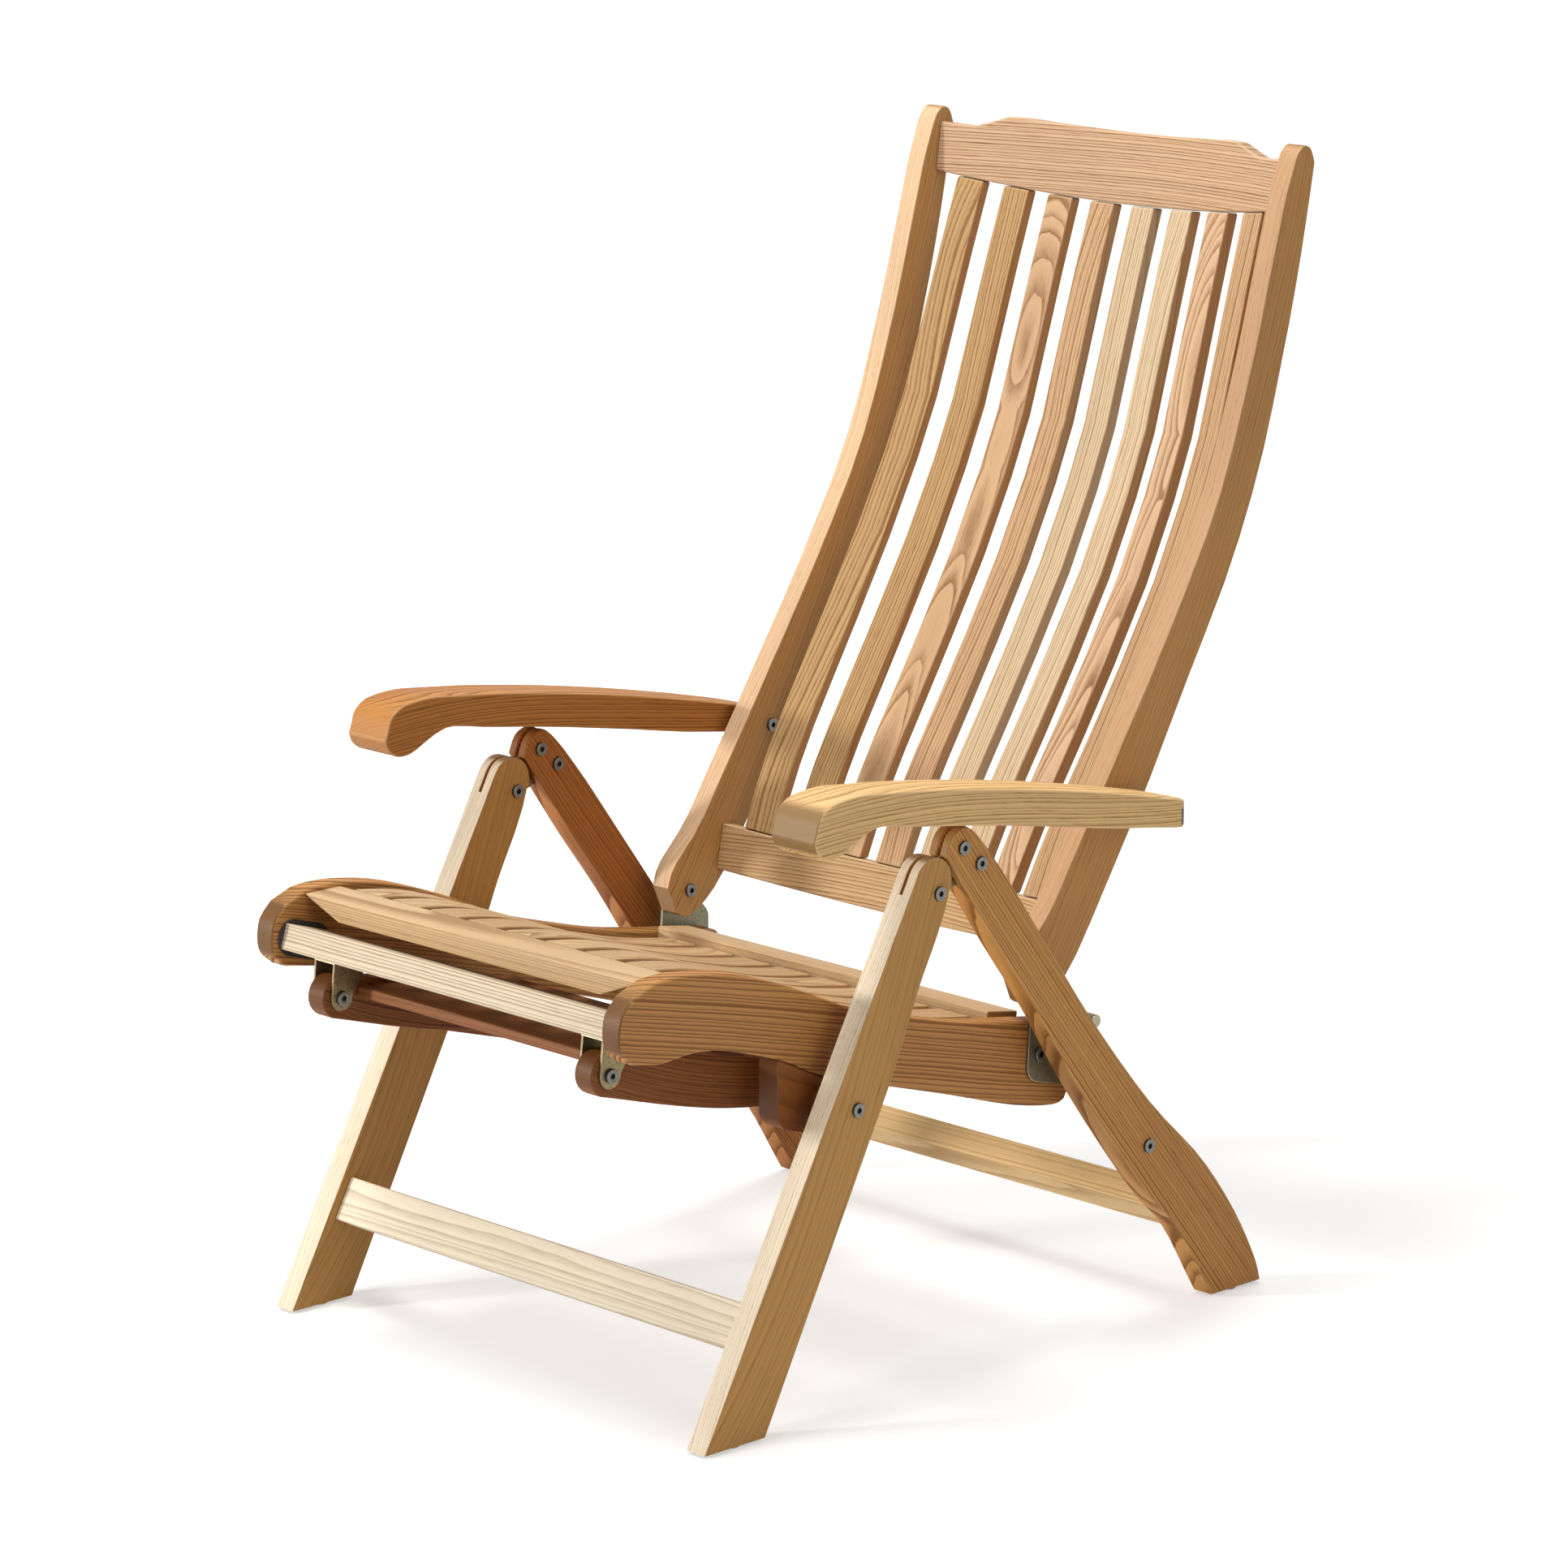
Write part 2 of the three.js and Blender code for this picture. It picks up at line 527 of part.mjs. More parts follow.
function footrestBracket(name, side) {
  const along = unit(-BAR_SLOPE);
  const front = onRail(BAR_TOE_SHARE)
    .addScaledVector(along, EAR_SETBACK)
    .addScaledVector(unit(quarter - BAR_SLOPE), -EAR_THICK - GAP);
  const flange = slab(front, -BAR_SLOPE, EAR_DEPTH, EAR_THICK);
  const outline = [...arc(FOOT_PIVOT, EAR_R, HALF_TURN, HALF_TURN * 2), flange[2], flange[3]];
  const spread = EAR_SPREAD / 2;
  const ear = (start) => board(outline, startOf(side, start, EAR_THICK), EAR_THICK, [bore(FOOT_PIVOT)]);
  const inner = ear(FOOT_X - spread);
  const outer = ear(FOOT_X + spread - EAR_THICK);
  const web = board(flange, startOf(side, FOOT_X - spread, EAR_SPREAD), EAR_SPREAD);
  place(name, join(web, inner, outer), BRONZE);
}

// Middle of the stud, which rests against the rear edge of the rear leg.
function studMiddle() {
  const height = onRail([0, STUD_HEIGHT_SHARE]).y;
  const after = legRear.findIndex((point) => point.y > height);
  const [low, high] = [legRear[after - 1], legRear[after]];
  const edge = low.clone().lerp(high, (height - low.y) / (high.y - low.y));
  const lean = high.clone().sub(low).normalize();
  return flat(edge.x + (STUD_R + STUD_REST) / lean.y, height);
}

function backBracket(name, side) {
  const face = RAIL_OUTER + GAP;
  const stud = studMiddle();
  const corners = [...PLATE_TOE_SHARES.map(onRail), stud, BACK_PIVOT];
  const start = startOf(side, face, PLATE_THICK);
  const plate = board(grown(corners, PLATE_R), start, PLATE_THICK, [bore(BACK_PIVOT)]);
  const end = face + STUD_LENGTH;
  const pin = bolt([[0, face], [STUD_R, face], [STUD_R, end], [0, end]], stud, side);
  place(name, join(plate, pin), PLATE);
}

function stile(name, side) {
  const outline = [
    ...smooth(STILE_FRONT_SHARES.map(onStile)),
    ...smooth(STILE_CROWN_SHARES.map(onStile), STEPS / 2).slice(1, -1),
    ...smooth(STILE_REAR_SHARES.map(onStile)),
  ];
  const bores = [bore(BACK_PIVOT, BOLT_R + GAP), bore(ARM_PIVOT, BOLT_R + GAP)];
  place(name, board(outline, startOf(side, STILE_INNER, STILE_THICK), STILE_THICK, bores), OAK_BROWN);
}

// How far the crest's lower edge hangs below its ends.
const dip = (x) => CREST_DIP * (1 - (x / STILE_INNER) ** 2);

// Rail of the back, lofted across between the stiles and bowed.
function crossPiece(name, edge, lean, thick, low, high, look) {
  const up = unit(quarter - lean);
  const rear = unit(-lean);
  const sections = [];
  for (let i = 0; i <= STEPS; i += 1) {
    const x = STILE_INNER * ((i / STEPS) * 2 - 1);
    const corner = (height, depth) => {
      const point = edge.clone().addScaledVector(up, height).addScaledVector(rear, depth);
      return bowed(x, point);
    };
    const [bottom, top] = [low(x), high(x)];
    sections.push([corner(bottom, 0), corner(bottom, thick), corner(top, thick), corner(top, 0)]);
  }
  place(name, loft(sections), look);
}

function crestTop(x) {
  const share = Math.abs(x) / STILE_INNER;
  const after = Math.max(1, CREST_TOP_SHARES.findIndex(([across]) => across >= share));
  const [[x0, h0], [x1, h1]] = CREST_TOP_SHARES.slice(after - 1, after + 1);
  return CREST_TALL * THREE.MathUtils.lerp(h0, h1, (share - x0) / (x1 - x0));
}

function backRails() {
  crossPiece('crest_rail', onStile(CREST_SHARE), CREST_LEAN, CREST_THICK, (x) => -dip(x), crestTop, OAK);
  const edge = onStile(LOW_RAIL_SHARE);
  crossPiece('back_bottom_rail', edge, LOW_RAIL_LEAN, LOW_RAIL_THICK, () => -LOW_RAIL_TALL, () => 0, OAK);
}

// Value of a list at a share of its length; 0 is the first entry and 1 the last.
function along(list, share) {
  const spot = share * (list.length - 1);
  const first = Math.min(Math.floor(spot), list.length - 2);
  return THREE.MathUtils.lerp(list[first], list[first + 1], spot - first);
}

// Front edge of a back slat at its foot, at its head, or on the path between.
function slatFront(path, i, x) {
  if (i === 0) return onStile(LOW_RAIL_SHARE).addScaledVector(unit(quarter - LOW_RAIL_LEAN), BACK_SLAT_GAP);
  if (i < path.length - 1) return path[i].clone();
  return onStile(CREST_SHARE).addScaledVector(unit(quarter - CREST_LEAN), -dip(x) - BACK_SLAT_GAP);
}

// Direction, in degrees, from a back slat's front face to its rear face.
function slatRear(path, i) {
  if (i === 0) return -LOW_RAIL_LEAN;
  if (i === path.length - 1) return -CREST_LEAN;
  return degrees(path[i + 1].clone().sub(path[i - 1]).angle()) - quarter;
}

// One slat of the back, lofted up its path and turned to face square to the bow.
function backSlat(name, order) {
  const pitch = ((STILE_INNER - BACK_SLAT_EDGE) * 2) / (BACK_SLATS - 1);
  const path = smooth(SLAT_PATH_SHARES.map(onStile), STEPS / 2);
  const sections = path.map((_, i) => {
    const share = i / (path.length - 1);
    const middle = order * pitch * along(SLAT_SPREAD_SHARES, share);
    const turn = radians(bowTurn(middle));
    const width = THREE.MathUtils.lerp(BACK_SLAT_LOW, BACK_SLAT_TOP, share) * Math.cos(turn);
    const corner = (x, depth) => {
      const front = slatFront(path, i, x);
      const spot = bowed(x, front.addScaledVector(unit(slatRear(path, i)), depth * Math.cos(turn)));
      spot.x += depth * Math.sin(turn);
      return spot;
    };
    const [left, right] = [middle - width / 2, middle + width / 2];
    const thick = BACK_SLAT_THICK;
    return [corner(left, 0), corner(right, 0), corner(right, thick), corner(left, thick)];
  });
  place(name, loft(sections), OAK);
}

function backSlats() {
  for (let n = 0; n < BACK_SLATS; n += 1) backSlat(`back_slat_${n + 1}`, n - (BACK_SLATS - 1) / 2);
}

function arm(name, side) {
  const outline = [...smooth(ARM_TOP_SHARES.map(onArm)), ...smooth(ARM_LOW_SHARES.map(onArm))];
  const blank = board(outline, startOf(side, ARM_INNER, ARM_WIDTH), ARM_WIDTH);
  const tip = onArm(ARM_TOP_SHARES.at(-1));
  const middle = side * (ARM_INNER + ARM_WIDTH / 2);
  const plan = new THREE.Shape([
    flat(middle - ARM_WIDTH / 2, ARM_Y), flat(middle + ARM_WIDTH / 2, ARM_Y),
    ...arc(flat(middle, tip.x - ARM_END_R), ARM_END_R, 0, HALF_TURN),
  ]);
  const prism = new THREE.ExtrudeGeometry(plan, { depth: ARM_RISE * 2, bevelEnabled: false });
  prism.translate(0, 0, ARM_Z - ARM_RISE / 2);
  const slotMiddle = (tip.y + onArm(ARM_LOW_SHARES[0]).y) / 2;
  const slot = new THREE.BoxGeometry(ARM_SLOT_WIDE, ARM_SLOT_DEEP * 2, ARM_SLOT_TALL);
  slot.translate(middle, tip.x, slotMiddle);
  const inside = BOLT_R + RUN;
  const end = ARM_INNER + ARM_BORE;
  const hole = bolt([[0, RAIL_OUTER], [inside, RAIL_OUTER], [inside, end], [0, end]], ARM_PIVOT, side);
  const shaped = geometryOf(solid(blank).intersect(solid(prism)));
  place(name, cut(shaped, slot, hole), OAK_PALE);
}

function armBolt(name, side) {
  const near = RAIL_OUTER + GAP;
  const far = ARM_INNER - GAP;
  const end = ARM_INNER + ARM_BORE - HEAD_H;
  place(name, bolt([
    [0, STILE_INNER - HEAD_H], [HEAD_R, STILE_INNER - HEAD_H], [HEAD_R, STILE_INNER], [BOLT_R, STILE_INNER],
    [BOLT_R, near], [COLLAR_R, near], [COLLAR_R, far], [BOLT_R, far], [BOLT_R, end], [0, end],
  ], ARM_PIVOT, side), STEEL);
}

// Point of the footrest, from its pivot back and down.
const behind = ([back, fall]) => flat(FOOT_PIVOT.x + back * FOOT_REACH, FOOT_PIVOT.y + fall * FOOT_FALL);
const footHeel = behind(FOOT_HEEL_SHARE);
const footSlope = degrees(footHeel.clone().sub(FOOT_PIVOT).angle());

function footrestRail(name, side) {
  const nose = arc(FOOT_PIVOT, FOOT_RAIL_R, footSlope + quarter - HALF_TURN * 2, footSlope - quarter);
  const outline = [...nose, ...smooth(FOOT_LOW_SHARES.map(behind)), footHeel];
  const start = startOf(side, FOOT_X - FOOT_RAIL_THICK / 2, FOOT_RAIL_THICK);
  place(name, board(outline, start, FOOT_RAIL_THICK, [bore(FOOT_PIVOT, BOLT_R + GAP)]), OAK_PALE);
}

function footrestSlats() {
  const inner = FOOT_X - FOOT_RAIL_THICK / 2;
  FOOT_SLAT_SHARES.forEach((share, i) => {
    const reach = share * FOOT_REACH - FOOT_SLAT_WIDTH / 2;
    const corner = FOOT_PIVOT.clone().addScaledVector(unit(footSlope), reach);
    const outline = slab(corner, footSlope, FOOT_SLAT_WIDTH, FOOT_SLAT_THICK);
    place(`footrest_slat_${i + 1}`, board(outline, -inner, inner * 2), OAK_PALE);
  });
}

function legFrames() {
  stretchers();
  SIDES.forEach(([hand, side]) => {
    frontLeg(`front_leg_${hand}`, side);
    rearLeg(`rear_leg_${hand}`, side);
    linkPlate(`link_plate_${hand}`, side);
    place(`leg_hinge_bolt_${hand}`, bolt(twoHeads(LEG_INNER, LEG_OUTER), LEG_HINGE, side), STEEL);
    LINK_SCREWS.forEach((screw, i) => {
      place(`link_screw_${i + 1}_${hand}`, bolt(twoHeads(LEG_INNER, LEG_OUTER), screw, side), STEEL);
    });
  });
}

function seat() {
  frontBoard();
  place('rear_cross_rail', board(crossRailOutline(), -RAIL_INNER, RAIL_INNER * 2), OAK);
  seatSlats();
  const bar = slab(onRail(BAR_TOE_SHARE), -BAR_SLOPE, BAR_DEPTH, BAR_THICK);
  place('front_bar', board(bar, -RAIL_INNER, RAIL_INNER * 2), OAK_PALE);
  SIDES.forEach(([hand, side]) => {
    seatRail(`seat_rail_${hand}`, side);
    hangerBlock(`hanger_block_${hand}`, side);
    place(`seat_pivot_bolt_${hand}`, bolt(twoHeads(RAIL_INNER, LEG_OUTER + GAP), SEAT_PIVOT, side), STEEL);
    footrestBracket(`footrest_bracket_${hand}`, side);
    backBracket(`back_bracket_${hand}`, side);
  });
}

function back() {
  backRails();
  backSlats();
  SIDES.forEach(([hand, side]) => {
    stile(`stile_${hand}`, side);
    const outer = RAIL_OUTER + GAP + PLATE_THICK + GAP;
    place(`back_pivot_bolt_${hand}`, bolt(twoHeads(STILE_INNER, outer), BACK_PIVOT, side), STEEL);
    armBolt(`arm_bolt_${hand}`, side);
    arm(`arm_${hand}`, side);
  });
}

function footrest() {
  footrestSlats();
  const inner = FOOT_X - EAR_SPREAD / 2 - GAP;
  const outer = FOOT_X + EAR_SPREAD / 2 + GAP;
  SIDES.forEach(([hand, side]) => {
    footrestRail(`footrest_rail_${hand}`, side);
    place(`footrest_bolt_${hand}`, bolt(twoHeads(inner, outer), FOOT_PIVOT, side), STEEL);
  });
}

legFrames();
seat();
back();
footrest();

// The origin is the middle of the footprint, on the floor.
const box = new THREE.Box3().setFromObject(chair);
const centre = box.getCenter(new THREE.Vector3());
chair.children.forEach((mesh) => mesh.geometry.translate(-centre.x, -centre.y, -box.min.z));

export default chair;
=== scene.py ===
"""Looks of a folding slatted lounge chair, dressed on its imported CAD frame.

Every board starts as a welded copy of its CAD solid, has its arrises eased in
edit mode and gets an ash-wood material of its own, whose grain runs along the
board. Bolts, screws, glides and linings are modelled from primitives. Lengths
are in metres, in the frame of the CAD model.
"""

import json
import logging
import math
from collections.abc import Callable, Sequence
from dataclasses import dataclass, field, replace
from enum import Enum

import bmesh
import bpy
import numpy as np
from mathutils import Euler, Matrix, Vector

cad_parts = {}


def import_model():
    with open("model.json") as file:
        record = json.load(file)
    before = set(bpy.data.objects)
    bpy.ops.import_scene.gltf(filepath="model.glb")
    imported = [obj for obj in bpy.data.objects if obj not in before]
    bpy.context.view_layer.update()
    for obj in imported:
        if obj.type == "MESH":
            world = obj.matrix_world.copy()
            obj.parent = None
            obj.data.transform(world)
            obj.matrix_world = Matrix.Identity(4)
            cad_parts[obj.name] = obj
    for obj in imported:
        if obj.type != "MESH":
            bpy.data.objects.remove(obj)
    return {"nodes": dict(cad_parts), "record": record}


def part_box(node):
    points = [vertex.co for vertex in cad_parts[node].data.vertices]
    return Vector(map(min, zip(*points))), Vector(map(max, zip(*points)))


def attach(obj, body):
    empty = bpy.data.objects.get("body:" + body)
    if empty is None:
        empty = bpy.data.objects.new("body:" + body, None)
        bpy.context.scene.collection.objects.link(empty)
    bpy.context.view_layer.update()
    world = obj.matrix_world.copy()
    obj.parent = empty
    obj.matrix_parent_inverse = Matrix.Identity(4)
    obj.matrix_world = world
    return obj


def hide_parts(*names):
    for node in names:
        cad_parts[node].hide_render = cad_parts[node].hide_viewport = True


LOG = logging.getLogger("folding_chair")
MM = 0.001
TOUCH = 0.001 * MM
SIDES = (("left", 1.0), ("right", -1.0))
ALONG_X = (1.0, 0.0, 0.0)
ALONG_Z = (0.0, 0.0, 1.0)
Colour = tuple[float, float, float]
Piece = bpy.types.Object


# Shader tools


class Value:
    """A socket whose arithmetic adds Math nodes to its material."""

    def __init__(self, graph: "Graph", socket: bpy.types.NodeSocket) -> None:
        """Wraps an output socket of a graph."""
        self.graph = graph
        self.socket = socket

    def _math(self, operation: str, *values: "Value | float") -> "Value":
        """Adds one Math node on these values and returns its result."""
        inputs = dict(enumerate(values))
        return self.graph.node("ShaderNodeMath", {"operation": operation}, inputs)

    def __add__(self, other: "Value | float") -> "Value":
        """Returns self + other."""
        return self._math("ADD", self, other)

    def __radd__(self, other: float) -> "Value":
        """Returns other + self."""
        return self._math("ADD", other, self)

    def __sub__(self, other: "Value | float") -> "Value":
        """Returns self - other."""
        return self._math("SUBTRACT", self, other)

    def __rsub__(self, other: float) -> "Value":
        """Returns other - self."""
        return self._math("SUBTRACT", other, self)

    def __mul__(self, other: "Value | float") -> "Value":
        """Returns self * other."""
        return self._math("MULTIPLY", self, other)

    def __rmul__(self, other: float) -> "Value":
        """Returns other * self."""
        return self._math("MULTIPLY", other, self)

    def __truediv__(self, other: "Value | float") -> "Value":
        """Returns self / other."""
        return self._math("DIVIDE", self, other)

    def __pow__(self, other: "Value | float") -> "Value":
        """Returns self to the power of other."""
        return self._math("POWER", self, other)

    def fraction(self) -> "Value":
        """Returns what is left of self above its whole number."""
        return self._math("FRACT", self)

    def at_most(self, limit: "Value | float") -> "Value":
        """Returns the lower of self and limit."""
        return self._math("MINIMUM", self, limit)

    def ramp(self, low: float, high: float) -> "Value":
        """Returns 0 below low and 1 above high, with a smooth rise between.

        Args:
            low: Value where the rise starts.
            high: Value where the rise ends.

        Returns:
            The risen value.
        """
        settings = {"interpolation_type": "SMOOTHSTEP", "clamp": True}
        inputs = {"Value": self, "From Min": low, "From Max": high}
        return self.graph.node("ShaderNodeMapRange", settings, inputs, "Result")


class Graph:
    """The node tree of one material, with its Principled shader."""

    def __init__(self, name: str) -> None:
        """Makes a material with one Principled shader.

        Args:
            name: Name of the material.
        """
        self.material = bpy.data.materials.new(name)
        self.material.use_nodes = True
        self.tree = self.material.node_tree
        self.shader = next(n for n in self.tree.nodes if n.type == "BSDF_PRINCIPLED")

    def node(
        self,
        kind: str,
        settings: dict[str, object] | None = None,
        inputs: dict[str | int, object] | None = None,
        output: str | int = 0,
    ) -> Value:
        """Adds a node.

        Args:
            kind: The node's type.
            settings: Its properties, which are set before its sockets.
            inputs: Values or links by socket name or number.
            output: Name or number of the socket to return.

        Returns:
            The chosen output.
        """
        made = self.tree.nodes.new(kind)
        for key, value in (settings or {}).items():
            setattr(made, key, value)
        for key, value in (inputs or {}).items():
            self.feed(made.inputs[key], value)
        return Value(self, made.outputs[output])

    def feed(self, socket: bpy.types.NodeSocket, value: object) -> None:
        """Links a Value to a socket, or sets the socket to a plain value.

        Args:
            socket: The input socket.
            value: A Value, a number, a vector or a colour.
        """
        if isinstance(value, Value):
            self.tree.links.new(value.socket, socket)
        elif isinstance(value, tuple) and len(value) == 3 and socket.type == "RGBA":
            socket.default_value = (*value, 1.0)
        else:
            socket.default_value = value

    def set(self, **inputs: object) -> None:
        """Feeds sockets of the shader; Base_Color stands for Base Color."""
        for key, value in inputs.items():
            self.feed(self.shader.inputs[key.replace("_", " ")], value)

    def place(self) -> Value:
        """Returns the Object coordinates."""
        return self.node("ShaderNodeTexCoord", output="Object")

    def arris(self) -> Value:
        """Returns 1 on the eased edges and 0 elsewhere."""
        return self.node("ShaderNodeAttribute", {"attribute_name": "arris"}, output="Fac")

    def parts(self, vector: Value) -> tuple[Value, ...]:
        """Returns the three numbers of a vector."""
        made = self.node("ShaderNodeSeparateXYZ", inputs={0: vector}).socket.node
        return tuple(Value(self, socket) for socket in made.outputs)

    def vector(self, x: Value | float, y: Value | float, z: Value | float) -> Value:
        """Returns the vector of three numbers."""
        return self.node("ShaderNodeCombineXYZ", inputs={0: x, 1: y, 2: z})

    def noise(self, at: Value, scale: float, detail: float = 2.0, rough: float = 0.5) -> Value:
        """Returns Noise Texture's factor at a vector."""
        inputs = {"Vector": at, "Scale": scale, "Detail": detail, "Roughness": rough}
        return self.node("ShaderNodeTexNoise", {"noise_dimensions": "3D"}, inputs, "Fac")

    def blend(self, factor: Value, low: Value | Colour, high: Value | Colour) -> Value:
        """Returns a colour between low and high."""
        inputs = {0: factor, 6: low, 7: high}
        return self.node("ShaderNodeMix", {"data_type": "RGBA"}, inputs, 2)

    def bump(self, height: Value, distance: float, strength: float) -> None:
        """Feeds the shader's Normal from a height."""
        inputs = {"Height": height, "Distance": distance, "Strength": strength}
        self.set(Normal=self.node("ShaderNodeBump", inputs=inputs, output="Normal"))


# Wood


class Timber(Enum):
    """Colours of oiled ash: pale late wood, brown early wood, and eased edge, which also paints
    light or shade on the narrow faces.
    """

    HONEY = ((0.60, 0.405, 0.205), (0.25, 0.120, 0.038), (0.66, 0.46, 0.26))
    STRAW = ((0.82, 0.56, 0.250), (0.43, 0.225, 0.076), (0.84, 0.61, 0.32))
    ROSE = ((0.58, 0.385, 0.230), (0.25, 0.120, 0.046), (0.64, 0.44, 0.28))
    AMBER = ((0.58, 0.325, 0.118), (0.27, 0.120, 0.034), (0.68, 0.50, 0.330))
    FAWN = ((0.55, 0.280, 0.090), (0.24, 0.100, 0.026), (0.48, 0.305, 0.185))
    PALE = ((0.84, 0.73, 0.550), (0.42, 0.29, 0.150), (0.86, 0.77, 0.60))
    ASHEN = ((0.69, 0.57, 0.410), (0.20, 0.13, 0.065), (0.62, 0.50, 0.35))
    OCHRE = ((0.47, 0.295, 0.125), (0.20, 0.090, 0.025), (0.55, 0.36, 0.17))
    BLUSH = ((0.54, 0.345, 0.185), (0.23, 0.105, 0.038), (0.61, 0.40, 0.23))
    WHEAT = ((0.62, 0.470, 0.300), (0.30, 0.180, 0.080), (0.67, 0.52, 0.35))
    CHESTNUT = ((0.50, 0.215, 0.052), (0.19, 0.066, 0.013), (0.66, 0.40, 0.18))
    SAND = ((0.82, 0.535, 0.240), (0.38, 0.195, 0.058), (0.84, 0.59, 0.30))
    TAN = ((0.54, 0.29, 0.088), (0.30, 0.145, 0.038), (0.85, 0.76, 0.60))
    RUSSET = ((0.62, 0.31, 0.090), (0.26, 0.10, 0.021), (0.66, 0.38, 0.15))
    BROWN = ((0.57, 0.275, 0.078), (0.16, 0.056, 0.012), (0.40, 0.19, 0.060))
    DEEP = ((0.48, 0.185, 0.042), (0.20, 0.060, 0.011), (0.48, 0.21, 0.060))
    DARK = ((0.26, 0.090, 0.020), (0.10, 0.028, 0.006), (0.24, 0.09, 0.026))

    @property
    def late(self) -> Colour:
        """Colour between the rings."""
        return self.value[0]

    @property
    def early(self) -> Colour:
        """Colour of the ring lines."""
        return self.value[1]

    @property
    def edge(self) -> Colour:
        """Colour of the eased edges, also painted on the narrow faces as their light or shade."""
        return self.value[2]


@dataclass(frozen=True)
class Figure:
    """How a board was cut from the log.

    Attributes:
        pith_up: Distance of the log's middle from the board's, across the grain.
        pith_through: The same, along X for a side board and along the depth for a rail.
        ring: Spacing of the rings.
        strength: How strong the ring lines show, where more than 1 widens them.
        tilt: Slope of the log's middle along the board, which makes arches.
        wobble: How far the rings wander.
        cheek: How far the narrow faces take the colour of the eased edges, as painted light or
            shade.
        end: How dark the oil has turned the end grain.
        flank: How far the faces towards the chair's sides are darkened, as painted shade of the
            gaps between slats.
    """

    pith_up: float
    pith_through: float
    ring: float
    strength: float
    tilt: float
    wobble: float = 5.0 * MM
    cheek: float = 0.0
    end: float = 0.6
    flank: float = 0.0

    def turned(self) -> "Figure":
        """Returns the figure of the same log on a slat, laid flat and with painted shade on its
        flanks.
        """
        return replace(self, pith_up=self.pith_through, pith_through=self.pith_up, flank=0.7)


QUARTER = Figure(0.22, 0.02, ring=3.0 * MM, strength=1.6, tilt=0.01, wobble=4.0 * MM)
FLAT = Figure(0.004, 0.060, ring=2.8 * MM, strength=1.35, tilt=0.022)
RIFT = Figure(0.10, 0.09, ring=3.0 * MM, strength=1.4, tilt=0.02)
# SMOOTH and CHEEKED paint light or shade on the narrow faces, in the timber's edge colour.
SMOOTH = replace(RIFT, strength=0.8, cheek=0.75)
PLAIN = Figure(0.03, 0.16, ring=3.0 * MM, strength=0.6, tilt=0.01, wobble=4.0 * MM)
CHEEKED = replace(PLAIN, pith_up=0.10, pith_through=0.14, strength=0.75, cheek=0.85)
RIBBED = Figure(0.25, 0.01, ring=3.2 * MM, strength=1.9, tilt=0.002, wobble=1.0 * MM)
BOLD = Figure(0.13, 0.05, ring=3.8 * MM, strength=2.3, tilt=0.03, wobble=8.0 * MM, end=0.95)
ARM = replace(BOLD, ring=3.4 * MM, strength=1.25)


@dataclass(frozen=True)
class Grain:
    """Lie of the grain in one board.

    Attributes:
        across: True where the board runs along X, False where it runs in a side plane.
        angle: Rise of the board above level, in radians, for a side board.
        middle: Middle of the board.
        bend: Numbers of the cubic that the grain follows, highest power first.
    """

    across: bool
    angle: float
    middle: Vector
    bend: tuple[float, ...]

    @classmethod
    def of(cls, mesh: bpy.types.Mesh, follow: float) -> "Grain":
        """Reads the lie of the grain from a board's shape.

        Args:
            mesh: The board.
            follow: How far the grain follows the board's curve, from 0 to 1.

        Returns:
            The grain.
        """
        points = np.array([v.co for v in mesh.vertices])
        low, high = points.min(0), points.max(0)
        middle = (low + high) / 2
        size = high - low
        if size[0] > max(size[1], size[2]):
            run, rise = points[:, 0] - middle[0], points[:, 1] - middle[1]
            return cls(True, 0.0, Vector(middle), cls._cubic(run, rise, follow))
        flat = points[:, 1:] - middle[1:]
        axes = np.linalg.eigh(np.cov(flat.T))[1]
        along = axes[:, 1] * (1.0 if axes[1, 1] > 0 else -1.0)
        angle = math.atan2(along[1], along[0])
        run = flat @ along
        rise = flat @ np.array([-along[1], along[0]])
        return cls(False, angle, Vector(middle), cls._cubic(run, rise, follow))

    @staticmethod
    def _cubic(
        run: np.ndarray, rise: np.ndarray, follow: float, steps: int = 8, least: int = 6
    ) -> tuple[float, ...]:
        """Fits a cubic through the middle of a board.

        Args:
            run: Places of the board's points along it.
            rise: Their places across it.
            follow: How far the cubic keeps the board's curve, from 0 to 1.
            steps: How many stretches the board is read in.
            least: Fewest stretches with points in them that give a curve.

        Returns:
            The four numbers of the cubic, highest power first.
        """
        slack = 0.1 * MM
        edges = np.linspace(run.min(), run.max(), steps + 1)
        places, heights = [], []
        for low, high in zip(edges[:-1], edges[1:]):
            inside = (run >= low - slack) & (run <= high + slack)
            if inside.sum() > 1:
                places.append(run[inside].mean())
                heights.append((rise[inside].min() + rise[inside].max()) / 2)
        if len(places) < least:
            return (0.0, 0.0, 0.0, 0.0)
        return tuple(float(k) * follow for k in np.polyfit(places, heights, 3))


@dataclass(frozen=True)
class Stretch:
    """A noise that is drawn out along the board.

    Attributes:
        along: Waves per metre along the board.
        across: Waves per metre across it and through it.
        shift: How far each next board is moved along it.
        detail: Levels of finer waves.
    """

    along: float
    across: float
    shift: float
    detail: float


WANDER = Stretch(along=1.6, across=9.0, shift=3.7, detail=3.0)
RIPPLE = Stretch(along=9.0, across=60.0, shift=1.3, detail=2.0)
PORES = Stretch(along=34.0, across=1500.0, shift=5.1, detail=2.0)
STREAK = Stretch(along=2.4, across=70.0, shift=2.1, detail=3.0)
CLOUD = Stretch(along=3.0, across=14.0, shift=1.0, detail=2.0)


